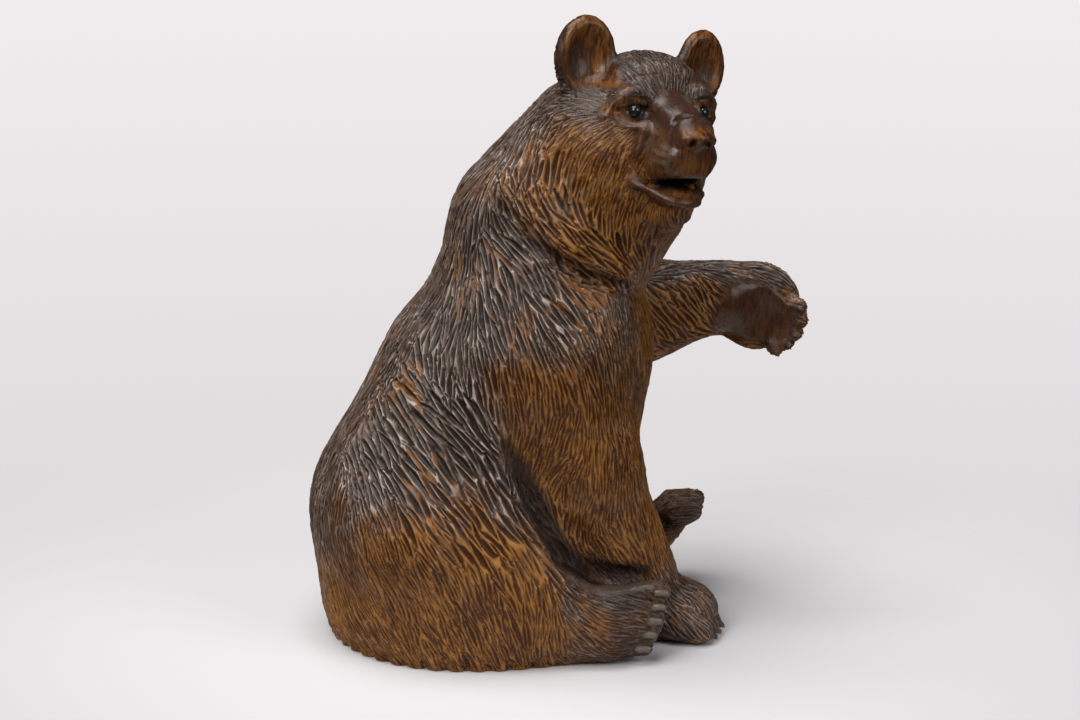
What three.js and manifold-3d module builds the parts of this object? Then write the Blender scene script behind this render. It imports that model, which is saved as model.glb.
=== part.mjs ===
// A bear carved from one block of linden wood in the manner of the forest bears: it sits on its
// haunches with its right forepaw on the ground and its left forepaw held out, and turns its head
// towards its right. Two glass beads are its eyes. The origin is on the flat underside, below the
// middle of the trunk; +X is the way the body faces, +Y its left side and +Z up. Millimetres.

import * as THREE from 'three';
import { mergeVertices } from 'three/addons/utils/BufferGeometryUtils.js';
import Module from 'manifold-3d';

// Sizes in millimetres.
const HEIGHT = 200;
const EYE_DIAMETER = 4.2;
const EYE_CLEARANCE = 0.3;

// The carving is drawn in steps of its height: it stands this many steps tall.
const STEPS_TALL = 195.53;
const STEP = HEIGHT / STEPS_TALL;

// How finely the surface is cut: the spacing of the grid that it is traced on, in steps, how many
// spacings the grid goes past the figure, and the number of flat facets that the carving keeps.
const GRID_SPACING = 2.0;
const GRID_MARGIN = 2;
const FACETS = 8500;
const EYE_FACETS_ROUND = 16;

// Pose of the head: its origin, and the turn of its brow line in degrees.
const HEAD_AT = [37.2, -6.1, 159.0];
const HEAD_TURN = { yaw: -62, pitch: 10, roll: 6.7 };
// Middle of the socket mound and of the bead on the head's left side, in the head's own axes:
// forward, left and up.
const EYE_MOUND = [14.6, 11.2, 5.6];
const EYE_BEAD = [15.8, 11.65, 5.8];

const TOES = 5;

// Locks of cut fur round the foot of the trunk: how many, how deep the notches between them are
// and how high they reach, in steps.
const TRUNK_MIDDLE = [-16, 0];
const LOCKS_ROUND = 44;
const LOCK_NOTCH = 1.7;
const LOCK_TOP = 9;

// No vertex of the traced surface comes nearer to a grid point than this share of the spacing.
const SHY = 0.03;

// How often an edge that can't be merged yet is tried again, and what each try adds to its cost.
const MOST_TRIES = 6;
const TRY_AGAIN = 2.5;

// Wood left below the underside until it is sawn off, in steps.
const SPARE_BELOW = 5;

const FAR = 60;

// Axes of a turned mass, as three columns: forward, left and up. Yaw turns it to the left, pitch
// raises its front and roll lowers its left side.
function turned({ yaw = 0, pitch = 0, roll = 0 }) {
  const y = THREE.MathUtils.degToRad(yaw);
  const p = THREE.MathUtils.degToRad(pitch);
  const r = THREE.MathUtils.degToRad(roll);
  const forward = new THREE.Vector3(Math.cos(p) * Math.cos(y), Math.cos(p) * Math.sin(y), Math.sin(p));
  const level = new THREE.Vector3(-Math.sin(y), Math.cos(y), 0);
  const above = new THREE.Vector3().crossVectors(forward, level);
  const left = level.clone().multiplyScalar(Math.cos(r)).addScaledVector(above, -Math.sin(r));
  const up = above.clone().multiplyScalar(Math.cos(r)).addScaledVector(level, Math.sin(r));
  return [forward, left, up];
}

const UPRIGHT = turned({});

function vector(list) {
  return new THREE.Vector3(...list);
}

// A point given in turned axes, seen from the outside.
function placed(origin, axes, point) {
  return origin
    .clone()
    .addScaledVector(axes[0], point.x)
    .addScaledVector(axes[1], point.y)
    .addScaledVector(axes[2], point.z);
}

function smoothMin(a, b, k) {
  const h = Math.max(k - Math.abs(a - b), 0) / k;
  return Math.min(a, b) - h * h * k * 0.25;
}

function smoothMax(a, b, k) {
  return -smoothMin(-a, -b, k);
}

function rampUp(x, from, to) {
  const t = Math.min(1, Math.max(0, (x - from) / (to - from)));
  return t * t * (3 - 2 * t);
}

// Distance to an egg-shaped mass with three half axes.
function eggDistance(centre, radii, axes) {
  const [f, l, u] = axes;
  return (x, y, z) => {
    const qx = x - centre.x;
    const qy = y - centre.y;
    const qz = z - centre.z;
    const a = (qx * f.x + qy * f.y + qz * f.z) / radii.x;
    const b = (qx * l.x + qy * l.y + qz * l.z) / radii.y;
    const c = (qx * u.x + qy * u.y + qz * u.z) / radii.z;
    const near = Math.sqrt(a * a + b * b + c * c);
    const steep = Math.hypot(a / radii.x, b / radii.y, c / radii.z);
    return (near * (near - 1)) / Math.max(steep, 1e-9);
  };
}

// Distance to a tapered limb with round ends.
function limbDistance(from, to, r1, r2) {
  const axis = to.clone().sub(from);
  const ll = axis.lengthSq();
  const rr = r1 - r2;
  const a2 = ll - rr * rr;
  return (x, y, z) => {
    const px = x - from.x;
    const py = y - from.y;
    const pz = z - from.z;
    const along = px * axis.x + py * axis.y + pz * axis.z;
    const beyond = along - ll;
    const wx = px * ll - axis.x * along;
    const wy = py * ll - axis.y * along;
    const wz = pz * ll - axis.z * along;
    const x2 = wx * wx + wy * wy + wz * wz;
    const y2 = along * along * ll;
    const z2 = beyond * beyond * ll;
    const k = Math.sign(rr) * rr * rr * x2;
    if (Math.sign(beyond) * a2 * z2 > k) return Math.sqrt(x2 + z2) / ll - r2;
    if (Math.sign(along) * a2 * y2 < k) return Math.sqrt(x2 + y2) / ll - r1;
    return (Math.sqrt((x2 * a2) / ll) + along * rr) / ll - r1;
  };
}

// A form built up from eggs and limbs that melt into each other over a blend width, and from
// hollows that are cut out of what is there already.
class Form {
  constructor(origin = [0, 0, 0], axes = UPRIGHT) {
    this.origin = vector(origin);
    this.axes = axes;
    this.masses = [];
    this.box = new THREE.Box3();
  }

  keep(distance, centre, reach, blend, hollow, box) {
    const margin = reach + Math.max(14, blend + 4);
    this.masses.push({ distance, centre, limit: margin * margin, blend, hollow });
    if (!hollow) this.box.union(box);
    return this;
  }

  egg(centre, radii, blend, turn = {}, hollow = false) {
    const local = turned(turn);
    const axes = local.map((a) => placed(new THREE.Vector3(), this.axes, a));
    const at = placed(this.origin, this.axes, vector(centre));
    const reach = Math.max(...radii);
    const across = ['x', 'y', 'z'].map((k) => Math.hypot(...axes.map((a, i) => a[k] * radii[i])));
    const box = new THREE.Box3(at.clone().sub(vector(across)), at.clone().add(vector(across)));
    return this.keep(eggDistance(at, vector(radii), axes), at, reach, blend, hollow, box);
  }

  hollow(centre, radii, blend, turn = {}) {
    return this.egg(centre, radii, blend, turn, true);
  }

  limb(from, to, r1, r2, blend, hollow = false) {
    const a = placed(this.origin, this.axes, vector(from));
    const b = placed(this.origin, this.axes, vector(to));
    const reach = a.distanceTo(b) / 2 + Math.max(r1, r2);
    const middle = a.clone().add(b).multiplyScalar(0.5);
    const box = new THREE.Box3().setFromPoints([a, b]).expandByScalar(Math.max(r1, r2));
    return this.keep(limbDistance(a, b, r1, r2), middle, reach, blend, hollow, box);
  }

  groove(from, to, r1, r2, blend) {
    return this.limb(from, to, r1, r2, blend, true);
  }

  at(x, y, z) {
    let total = FAR;
    for (const mass of this.masses) {
      const dx = x - mass.centre.x;
      const dy = y - mass.centre.y;
      const dz = z - mass.centre.z;
      if (dx * dx + dy * dy + dz * dz > mass.limit) continue;
      const d = mass.distance(x, y, z);
      if (mass.hollow) total = smoothMax(total, -d, mass.blend);
      else total = smoothMin(total, d, mass.blend);
    }
    return total;
  }
}

function trunkForm() {
  return new Form()
    .egg([-20, 0, 38], [46, 48, 42], 1)
    .egg([-16, 0, 8], [45, 49, 30], 14)
    .egg([-6, 0, 74], [40, 40, 42], 18)
    .egg([2, 4, 50], [34, 36, 36], 14)
    .egg([10, 2, 94], [31, 33, 32], 16)
    .egg([1, 0, 118], [24, 27, 25], 14);
}

// The neck, and the edge of the ruff where its long fur lies over the near shoulder.
function neckForm() {
  return new Form()
    .limb([5, -2, 128], [24, -4, 152], 27.5, 25, 1)
    .limb([17, 0, 114], [31, -8, 137], 21, 19.5, 8)
    .limb([-1, -18, 141], [14, -24, 130], 8, 7.5, 7)
    .limb([14, -24, 130], [28, -18, 120], 7.5, 6, 6);
}

function haunchForm(side) {
  return new Form().limb([-24, 20 * side, 42], [1, 32 * side, 24], 30, 15.5, 4);
}

// The near hind leg lies along the ground; a raised lip runs along the top of its foot.
function nearHindLegForm() {
  return new Form()
    .limb([-2, -32, 14], [26, -36, 10.5], 16, 10.5, 8)
    .limb([10, -34, 23.5], [26, -34.5, 19], 3, 3, 4)
    .limb([26, -34.5, 19], [40, -35, 22.5], 3, 2.6, 4);
}

// The near hind foot lies on its outer edge, so its toes stand one above the other, each with
// its nail on the side that faces out.
function nearHindFootForm() {
  const foot = new Form().egg([31, -36, 12.5], [13, 7.5, 11], 6, { yaw: 4, pitch: 4 });
  for (let i = 0; i < TOES; i++) {
    const t = i / (TOES - 1);
    const root = [34 + 1.5 * t, -38 + 2 * t, 5 + 16 * t];
    const tip = [38 + 7.5 * t - 3 * t * t, -38.4 + 2.2 * t, 5.2 + 16.6 * t];
    foot.limb(root, tip, 3.4, 3, 0.8);
    const nail = [tip[0] - 1.5, tip[1] - 2.4, tip[2] + 0.3];
    foot.limb(nail, [tip[0] + 1.2, tip[1] - 2.6, tip[2] + 0.3], 1.5, 1.1, 0.5);
  }
  return foot;
}

function farHindLegForm() {
  return new Form().limb([8, 34, 26], [38, 44, 13], 15, 10, 8);
}

// The far hind foot rests on its heel with the toes up.
function farHindFootForm() {
  const foot = new Form([49, 45, 22], turned({ yaw: 4, pitch: 50 }));
  foot.egg([-4, 0, 0.5], [13, 9.5, 7], 6);
  for (let i = 0; i < TOES; i++) {
    const v = (i - (TOES - 1) / 2) * 4.1;
    const root = [3 - 0.15 * Math.abs(v), v, 0.6];
    const tip = [9.4 - 0.35 * Math.abs(v), v * 1.1, -2.8];
    foot.limb(root, tip, 4.2, 3, 0.9);
  }
  return foot;
}

function forelegForm() {
  return new Form()
    .egg([8, -21, 98], [23, 17, 30], 8)
    .limb([10, -24, 92], [18, -23, 60], 20, 17, 10)
    .limb([18, -23, 60], [33.5, -13, 20], 17, 15.5, 10);
}

function forepawForm() {
  const paw = new Form().egg([46, -9, 8], [16, 13, 10.5], 8, { yaw: -8 });
  for (let i = 0; i < TOES; i++) {
    const v = (i - (TOES - 1) / 2) * 5;
    const root = [50 - 0.1 * Math.abs(v), -9 + v, 5.6];
    const tip = [59 - 0.3 * Math.abs(v), -10 + v * 1.05, 4];
    paw.limb(root, tip, 5.2, 4, 1);
    const claw = [tip[0] + 1.5, tip[1], tip[2] + 0.6];
    paw.limb(claw, [tip[0] + 4.6, tip[1], tip[2] - 1.8], 1.6, 0.9, 0.5);
  }
  return paw;
}

function raisedArmForm() {
  return new Form()
    .egg([6, 20, 100], [23, 17, 27], 8)
    .limb([14, 26, 96], [36, 34, 93], 19, 15.5, 10)
    .limb([36, 34, 93], [64, 36, 97.5], 15.5, 11.5, 8);
}

// The raised paw hangs over its bare, hollowed palm, which faces the bear's right side. The toes
// fan out round the lower front of it, 19 degrees apart.
function raisedPawForm() {
  const paw = new Form().egg([75.5, 37, 94], [14, 9, 14.5], 6);
  for (let i = 0; i < TOES; i++) {
    const angle = THREE.MathUtils.degToRad(12 - 19 * i);
    const reach = 13 - 0.4 * Math.abs(i - 1);
    const [f, u] = [Math.cos(angle), Math.sin(angle)];
    paw.limb([76 + 7 * f, 35, 92.5 + 7 * u], [76 + reach * f, 31, 92.5 + reach * u], 4.2, 3, 1.5);
    const claw = [76 + (reach + 0.8) * f, 29.4, 92.3 + (reach + 0.8) * u];
    const point = [76 + (reach + 1) * f, 28, 91.8 + (reach + 1) * u];
    paw.limb(claw, point, 1.5, 1.1, 0.8);
  }
  return paw.hollow([74.8, 27, 91.8], [10.5, 4.4, 10.5], 1.5);
}

function headForm() {
  const head = new Form(HEAD_AT, turned(HEAD_TURN));
  head.egg([-2, 0, 4], [20, 19.5, 19], 1);
  head.egg([1, 0, 14.6], [14, 16, 9.5], 5);
  for (const side of [-1, 1]) {
    // cheek, ruff behind it, brow and cheekbone
    head.egg([-8, 13 * side, -7], [15, 12.5, 17], 7);
    head.egg([-14, 15 * side, -14], [12, 11, 17], 7);
    head.egg([9.5, 9 * side, 9.8], [6.8, 7.2, 4.6], 3);
    head.egg([7, 11.5 * side, -3], [8, 7, 9], 6);
  }
  // throat
  head.egg([-2, 0, -20], [16, 15, 16], 8);
  // flat bridge of the muzzle, then the muzzle under it
  for (const side of [-1, 1]) {
    head.limb([12, 2.8 * side, 7], [30.5, 2.6 * side, 0.2], 5, 3.5, 3);
  }
  head.limb([12, 0, 7.6], [30.5, 0, 0.6], 5, 3.4, 3);
  head.limb([6, 0, -7], [25.3, 0, -6.4], 11.5, 7.4, 8);
  for (const side of [-1, 1]) {
    // whisker pad, upper lip and the fold from the eye's inner corner down the cheek
    head.egg([26.6, 5.6 * side, -7.4], [6.4, 4.2, 4.4], 2.2, { yaw: -8 * side });
    head.limb([12, 7.6 * side, -12], [29.4, 2.8 * side, -11.2], 3.9, 3.2, 4);
    head.limb([18.2, 7.6 * side, 5.6], [18.6, 10.6 * side, -1], 1.2, 1.4, 1.5);
  }
  // lower jaw and nose pad
  head.limb([5, 0, -23], [21.6, 0, -23.4], 10, 5.2, 3);
  head.egg([31.6, 0, -2], [6, 6.9, 4.3], 0.9);
  for (const side of [-1, 1]) {
    // The near ear is the larger one.
    const set = { yaw: 10 * side, pitch: -6 };
    const near = side < 0;
    const at = [0, 20.1 * side - 0.4, 20.4 - 0.9 * side];
    head.egg(at, near ? [4.4, 9.8, 13.4] : [4.2, 9, 12.2], 2.5, set);
    const cup = [4.2, at[1], at[2] + 0.2];
    head.hollow(cup, near ? [4.8, 7.4, 10.4] : [4.6, 6.4, 9.4], 1.5, set);
  }
  // open mouth, and the floor of it inside the lower lip
  head.hollow([28.5, 0, -16.7], [10.5, 7.3, 2.7], 1.2, { pitch: -10 });
  head.egg([19.6, 0, -18.7], [9.4, 8, 2.6], 1.2, { pitch: -24 });
  for (const side of [-1, 1]) {
    // the lower lip in three lengths, then the edge of the brow in three
    head.limb([14, 11.8 * side, -15.2], [22, 7.8 * side, -18.6], 1.4, 1.7, 1.5);
    head.limb([22, 7.8 * side, -18.6], [26, 4.4 * side, -20.8], 1.7, 1.7, 1.5);
    head.limb([26, 4.4 * side, -20.8], [27.4, 0, -21.6], 1.7, 1.9, 1.5);
    const outer = side < 0 ? 18.8 : 17.6;
    head.limb([11, outer * side, 4.8], [12.6, 15.6 * side, 9.2], 1.2, 1.9, 3);
    head.limb([12.6, 15.6 * side, 9.2], [15, 11.2 * side, 11.2], 1.9, 2.1, 3);
    head.limb([15, 11.2 * side, 11.2], [16.2, 6.4 * side, 9.4], 2.1, 1.3, 3);
  }
  for (const side of [-1, 1]) {
    // nostril, the almond hollow that the eye lies in and the trough beside the bridge
    head.hollow([36.8, 2.7 * side, -3.9], [3.4, 1.3, 1.5], 0.5);
    head.hollow([18.8, 11.2 * side, 6], [5, 5, 4.3], 1.2, { yaw: 30 * side });
    head.hollow([16.6, 14.4 * side, 4.9], [4.2, 4.2, 2.5], 1.2, { yaw: 40 * side, roll: -16 * side });
    head.groove([19, 9.6 * side, 4.6], [28.4, 8.8 * side, 0.4], 2.4, 1.9, 2);
  }
  for (const side of [-1, 1]) {
    head.egg([EYE_MOUND[0], EYE_MOUND[1] * side, EYE_MOUND[2]], [2.9, 2.9, 2.9], 1.5);
  }
  // tongue
  head.egg([22.6, 0, -17.6], [5.6, 4, 1.6], 0.8, { pitch: -20 });
  return head;
}

// Deeply cut lines: between the near haunch and the foreleg, and under the edge of the ruff.
function creaseForm() {
  return new Form()
    .limb([-5, -43, 72], [5, -42, 51], 0.8, 2.4, 1)
    .limb([5, -42, 51], [13, -39.5, 35], 2.4, 2.8, 1)
    .limb([13, -39.5, 35], [23, -33, 27], 2.8, 2.4, 1)
    .limb([23, -33, 27], [38, -29, 25.5], 2.4, 0.8, 1)
    .limb([-9, -26, 143], [4, -31.7, 130], 0.9, 1.7, 1)
    .limb([4, -31.7, 130], [19, -31.7, 120], 1.7, 1.7, 1)
    .limb([19, -31.7, 120], [32, -22, 114], 1.7, 1.2, 1);
}

const trunk = trunkForm();
const neck = neckForm();
const haunches = [haunchForm(-1), haunchForm(1)];
const nearHindLeg = nearHindLegForm();
const nearHindFoot = nearHindFootForm();
const farHindLeg = farHindLegForm();
const farHindFoot = farHindFootForm();
const foreleg = forelegForm();
const forepaw = forepawForm();
const raisedArm = raisedArmForm();
const raisedPaw = raisedPawForm();
const head = headForm();
const creases = creaseForm();

// How far the notches between the cut locks of fur at the foot of the trunk go in.
function notchDepth(x, y, z) {
  const angle = Math.atan2(y - TRUNK_MIDDLE[1], x - TRUNK_MIDDLE[0]);
  const wave = 1 - Math.abs(Math.sin((angle * LOCKS_ROUND) / 2));
  return LOCK_NOTCH * wave * rampUp(z, LOCK_TOP, 0);
}

// Signed distance to the whole carving, in steps: less than nothing inside the wood. The block
// goes on a little below the underside that it is sawn off at.
function carving(x, y, z) {
  const thighs = smoothMin(haunches[0].at(x, y, z), haunches[1].at(x, y, z), 4);
  let wood = smoothMin(trunk.at(x, y, z), thighs, 4 + 8 * rampUp(z, 60, 30));
  if (z < LOCK_TOP) wood += notchDepth(x, y, z);
  wood = smoothMin(wood, neck.at(x, y, z), 4);
  wood = smoothMin(wood, head.at(x, y, z), 3);
  wood = smoothMin(wood, smoothMin(raisedArm.at(x, y, z), raisedPaw.at(x, y, z), 4), 8);
  wood = smoothMin(wood, smoothMin(nearHindLeg.at(x, y, z), nearHindFoot.at(x, y, z), 2.5), 8);
  wood = smoothMin(wood, smoothMin(farHindLeg.at(x, y, z), farHindFoot.at(x, y, z), 3), 8);
  const front = smoothMin(foreleg.at(x, y, z), forepaw.at(x, y, z), 5);
  wood = smoothMin(wood, front, 2.5 + 8 * rampUp(z, 50, 88));
  wood = smoothMax(wood, -creases.at(x, y, z), 2.5);
  return Math.max(wood, -SPARE_BELOW - z);
}

// Traces the surface where the distance is nothing. Each cube of the grid is split into six
// tetrahedra round its long diagonal, which always gives a closed surface.
function trace(distance, low, high, spacing) {
  const count = [0, 1, 2].map((i) => Math.ceil((high[i] - low[i]) / spacing) + 1);
  const [nx, ny, nz] = count;
  const values = new Float64Array(nx * ny * nz);
  const index = (i, j, k) => (k * ny + j) * nx + i;
  for (let k = 0; k < nz; k++) {
    for (let j = 0; j < ny; j++) {
      for (let i = 0; i < nx; i++) {
        const d = distance(low[0] + i * spacing, low[1] + j * spacing, low[2] + k * spacing);
        values[index(i, j, k)] = Math.abs(d) < 1e-5 ? 1e-5 : d;
      }
    }
  }
  const shift = [1, nx, nx + 1, nx * ny, nx * ny + 1, nx * ny + nx, nx * ny + nx + 1];
  const made = new Map();
  const points = [];
  const corner = (n) => [n % nx, Math.floor(n / nx) % ny, Math.floor(n / (nx * ny))];
  function crossing(a, b) {
    const from = Math.min(a, b);
    const to = Math.max(a, b);
    const key = from * 8 + shift.indexOf(to - from);
    const found = made.get(key);
    if (found !== undefined) return found;
    const t = THREE.MathUtils.clamp(values[from] / (values[from] - values[to]), SHY, 1 - SHY);
    const p = corner(from);
    const q = corner(to);
    const id = points.length / 3;
    for (let i = 0; i < 3; i++) points.push(low[i] + spacing * (p[i] + t * (q[i] - p[i])));
    made.set(key, id);
    return id;
  }
  const faces = [];
  function face(a, b, c, inner) {
    const ux = points[b * 3] - points[a * 3];
    const uy = points[b * 3 + 1] - points[a * 3 + 1];
    const uz = points[b * 3 + 2] - points[a * 3 + 2];
    const vx = points[c * 3] - points[a * 3];
    const vy = points[c * 3 + 1] - points[a * 3 + 1];
    const vz = points[c * 3 + 2] - points[a * 3 + 2];
    const p = corner(inner);
    const wx = points[a * 3] - low[0] - p[0] * spacing;
    const wy = points[a * 3 + 1] - low[1] - p[1] * spacing;
    const wz = points[a * 3 + 2] - low[2] - p[2] * spacing;
    const out = (uy * vz - uz * vy) * wx + (uz * vx - ux * vz) * wy + (ux * vy - uy * vx) * wz;
    if (out > 0) faces.push(a, b, c);
    else faces.push(a, c, b);
  }
  // Orders in which the six tetrahedra walk along x, y and z from the near to the far corner.
  const walks = [[0, 1, 3], [0, 3, 1], [1, 0, 3], [1, 3, 0], [3, 0, 1], [3, 1, 0]];
  for (let k = 0; k < nz - 1; k++) {
    for (let j = 0; j < ny - 1; j++) {
      for (let i = 0; i < nx - 1; i++) {
        const base = index(i, j, k);
        let inside = values[base] < 0 ? 1 : 0;
        for (const s of shift) if (values[base + s] < 0) inside++;
        if (inside === 0 || inside === 8) continue;
        for (const walk of walks) {
          const tetra = [base];
          for (const axis of walk) tetra.push(tetra[tetra.length - 1] + shift[axis]);
          const within = tetra.filter((n) => values[n] < 0);
          const without = tetra.filter((n) => values[n] >= 0);
          if (within.length === 1) {
            const [a] = within;
            face(crossing(a, without[0]), crossing(a, without[1]), crossing(a, without[2]), a);
          } else if (within.length === 3) {
            const [o] = without;
            const ring = within.map((n) => crossing(n, o));
            face(ring[0], ring[1], ring[2], within[0]);
          } else if (within.length === 2) {
            const [a, b] = within;
            const [c, d] = without;
            const ac = crossing(a, c);
            const ad = crossing(a, d);
            const bc = crossing(b, c);
            const bd = crossing(b, d);
            face(ac, ad, bd, a);
            face(ac, bd, bc, a);
          }
        }
      }
    }
  }
  return { points: Float64Array.from(points), faces: Int32Array.from(faces) };
}

// Places where the carver's small forms are close together keep more of the facets.
const FINE_PLACES = [
  { at: [50, -30, 157], reach: 34, weight: 7 },
  { at: [36, -2, 178], reach: 36, weight: 2.5 },
  { at: [80, 32, 93], reach: 20, weight: 4 },
  { at: [40, -36, 13], reach: 16, weight: 4 },
  { at: [52, -9, 7], reach: 18, weight: 3 },
  { at: [50, 45, 22], reach: 18, weight: 3 },
];

function weightAt(x, y, z) {
  let weight = 1;
  for (const place of FINE_PLACES) {
    const away = Math.hypot(x - place.at[0], y - place.at[1], z - place.at[2]) / place.reach;
    weight = Math.max(weight, 1 + (place.weight - 1) * rampUp(away, 1.2, 0.7));
  }
  return weight;
}

// A heap of edges, cheapest first.
class EdgeHeap {
  constructor() {
    this.items = [];
  }

  push(item) {
    const items = this.items;
    let i = items.length;
    items.push(item);
    while (i > 0) {
      const parent = (i - 1) >> 1;
      if (items[parent].cost <= item.cost) break;
      items[i] = items[parent];
      i = parent;
    }
    items[i] = item;
  }

  pop() {
    const items = this.items;
    const top = items[0];
    const last = items.pop();
    if (items.length === 0) return top;
    let i = 0;
    for (;;) {
      let child = 2 * i + 1;
      if (child >= items.length) break;
      if (child + 1 < items.length && items[child + 1].cost < items[child].cost) child++;
      if (items[child].cost >= last.cost) break;
      items[i] = items[child];
      i = child;
    }
    items[i] = last;
    return top;
  }
}

// Merges the ends of the edge that changes the surface least, again and again, until the wanted
// number of flat facets is left. Each vertex carries the sum of squared distances to the planes
// of the facets that it stands for, as the ten numbers of a symmetric 4 x 4 matrix.
function thin({ points, faces }, wanted) {
  const vertices = points.length / 3;
  const around = Array.from({ length: vertices }, () => []);
  const quadrics = new Float64Array(vertices * 10);
  const stamp = new Int32Array(vertices);
  const alive = new Uint8Array(faces.length / 3).fill(1);
  const normal = (a, b, c, moved, x, y, z) => {
    const ax = a === moved ? x : points[a * 3];
    const ay = a === moved ? y : points[a * 3 + 1];
    const az = a === moved ? z : points[a * 3 + 2];
    const ux = (b === moved ? x : points[b * 3]) - ax;
    const uy = (b === moved ? y : points[b * 3 + 1]) - ay;
    const uz = (b === moved ? z : points[b * 3 + 2]) - az;
    const vx = (c === moved ? x : points[c * 3]) - ax;
    const vy = (c === moved ? y : points[c * 3 + 1]) - ay;
    const vz = (c === moved ? z : points[c * 3 + 2]) - az;
    return [uy * vz - uz * vy, uz * vx - ux * vz, ux * vy - uy * vx];
  };
  for (let f = 0; f < alive.length; f++) {
    const [a, b, c] = [faces[f * 3], faces[f * 3 + 1], faces[f * 3 + 2]];
    const n = normal(a, b, c, -1, 0, 0, 0);
    const size = Math.hypot(...n);
    if (size > 0) {
      const p = n.map((v) => v / size);
      p.push(-(p[0] * points[a * 3] + p[1] * points[a * 3 + 1] + p[2] * points[a * 3 + 2]));
      const w = (size * weightAt(points[a * 3], points[a * 3 + 1], points[a * 3 + 2])) / 6;
      for (const v of [a, b, c]) {
        let q = v * 10;
        for (let i = 0; i < 4; i++) {
          for (let j = i; j < 4; j++) quadrics[q++] += w * p[i] * p[j];
        }
      }
    }
    around[a].push(f);
    around[b].push(f);
    around[c].push(f);
  }

  // Best place for the merged vertex of an edge and what it costs.
  const sum = new Float64Array(10);
  function costAt(x, y, z) {
    const s = sum;
    return s[0] * x * x + 2 * s[1] * x * y + 2 * s[2] * x * z + 2 * s[3] * x
      + s[4] * y * y + 2 * s[5] * y * z + 2 * s[6] * y
      + s[7] * z * z + 2 * s[8] * z + s[9];
  }
  function edge(a, b) {
    for (let i = 0; i < 10; i++) sum[i] = quadrics[a * 10 + i] + quadrics[b * 10 + i];
    const [ax, ay, az] = [points[a * 3], points[a * 3 + 1], points[a * 3 + 2]];
    const [bx, by, bz] = [points[b * 3], points[b * 3 + 1], points[b * 3 + 2]];
    const [mx, my, mz] = [(ax + bx) / 2, (ay + by) / 2, (az + bz) / 2];
    const length2 = (ax - bx) ** 2 + (ay - by) ** 2 + (az - bz) ** 2;
    // A faint pull to the middle of the edge keeps flat places well shaped.
    const pull = 1e-3 * (sum[0] + sum[4] + sum[7]);
    const [m0, m1, m2, m4, m5, m7] = [sum[0] + pull, sum[1], sum[2], sum[4] + pull, sum[5], sum[7] + pull];
    const [r0, r1, r2] = [pull * mx - sum[3], pull * my - sum[6], pull * mz - sum[8]];
    const c0 = m4 * m7 - m5 * m5;
    const c1 = m2 * m5 - m1 * m7;
    const c2 = m1 * m5 - m2 * m4;
    const det = m0 * c0 + m1 * c1 + m2 * c2;
    let [x, y, z] = [mx, my, mz];
    if (Math.abs(det) > 1e-12) {
      x = (r0 * c0 + r1 * c1 + r2 * c2) / det;
      y = (r0 * c1 + r1 * (m0 * m7 - m2 * m2) + r2 * (m1 * m2 - m0 * m5)) / det;
      z = (r0 * c2 + r1 * (m1 * m2 - m0 * m5) + r2 * (m0 * m4 - m1 * m1)) / det;
      if ((x - mx) ** 2 + (y - my) ** 2 + (z - mz) ** 2 > length2) [x, y, z] = [mx, my, mz];
    }
    const cost = Math.max(0, costAt(x, y, z)) + 1e-5 * length2;
    return { cost, a, b, x, y, z, age: stamp[a] + stamp[b], tries: 0 };
  }

  const heap = new EdgeHeap();
  for (let f = 0; f < alive.length; f++) {
    for (let i = 0; i < 3; i++) {
      const a = faces[f * 3 + i];
      const b = faces[f * 3 + ((i + 1) % 3)];
      if (a < b) heap.push(edge(a, b));
    }
  }

  const neighbours = (v) => {
    const found = new Set();
    for (const f of around[v]) {
      for (let i = 0; i < 3; i++) found.add(faces[f * 3 + i]);
    }
    found.delete(v);
    return found;
  };

  // Whether a facet would turn over or become a sliver when vertex v moves.
  function spoils(v, other, x, y, z) {
    for (const f of around[v]) {
      const [a, b, c] = [faces[f * 3], faces[f * 3 + 1], faces[f * 3 + 2]];
      if (a === other || b === other || c === other) continue;
      const before = normal(a, b, c, -1, 0, 0, 0);
      const after = normal(a, b, c, v, x, y, z);
      const was = Math.hypot(...before);
      const is = Math.hypot(...after);
      const turn = before[0] * after[0] + before[1] * after[1] + before[2] * after[2];
      if (is < 1e-3 * was || turn < 0.2 * was * is) return true;
    }
    return false;
  }

  let left = alive.length;
  while (left > wanted && heap.items.length > 0) {
    const item = heap.pop();
    const { a, b, x, y, z, age } = item;
    if (age !== stamp[a] + stamp[b] || stamp[a] < 0 || stamp[b] < 0) continue;
    const ringA = neighbours(a);
    if (!ringA.has(b)) continue;
    const ringB = neighbours(b);
    let shared = 0;
    for (const v of ringA) if (ringB.has(v)) shared++;
    if (shared !== 2 || spoils(a, b, x, y, z) || spoils(b, a, x, y, z)) {
      const tries = item.tries + 1;
      const cost = item.cost * TRY_AGAIN;
      if (tries < MOST_TRIES) heap.push({ ...item, cost, tries });
      continue;
    }
    points[a * 3] = x;
    points[a * 3 + 1] = y;
    points[a * 3 + 2] = z;
    for (let i = 0; i < 10; i++) quadrics[a * 10 + i] += quadrics[b * 10 + i];
    const kept = new Set();
    for (const f of [...around[a], ...around[b]]) {
      if (!alive[f] || kept.has(f)) continue;
      const corners = [faces[f * 3], faces[f * 3 + 1], faces[f * 3 + 2]];
      if (corners.includes(a) && corners.includes(b)) {
        alive[f] = 0;
        left--;
        for (const v of corners) {
          if (v !== a && v !== b) around[v] = around[v].filter((g) => g !== f);
        }
        continue;
      }
      for (let i = 0; i < 3; i++) if (corners[i] === b) faces[f * 3 + i] = a;
      kept.add(f);
    }
    around[a] = [...kept];
    around[b] = [];
    stamp[b] = -1e9;
    const ring = neighbours(a);
    stamp[a]++;
    for (const v of ring) heap.push(edge(Math.min(a, v), Math.max(a, v)));
  }

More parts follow.
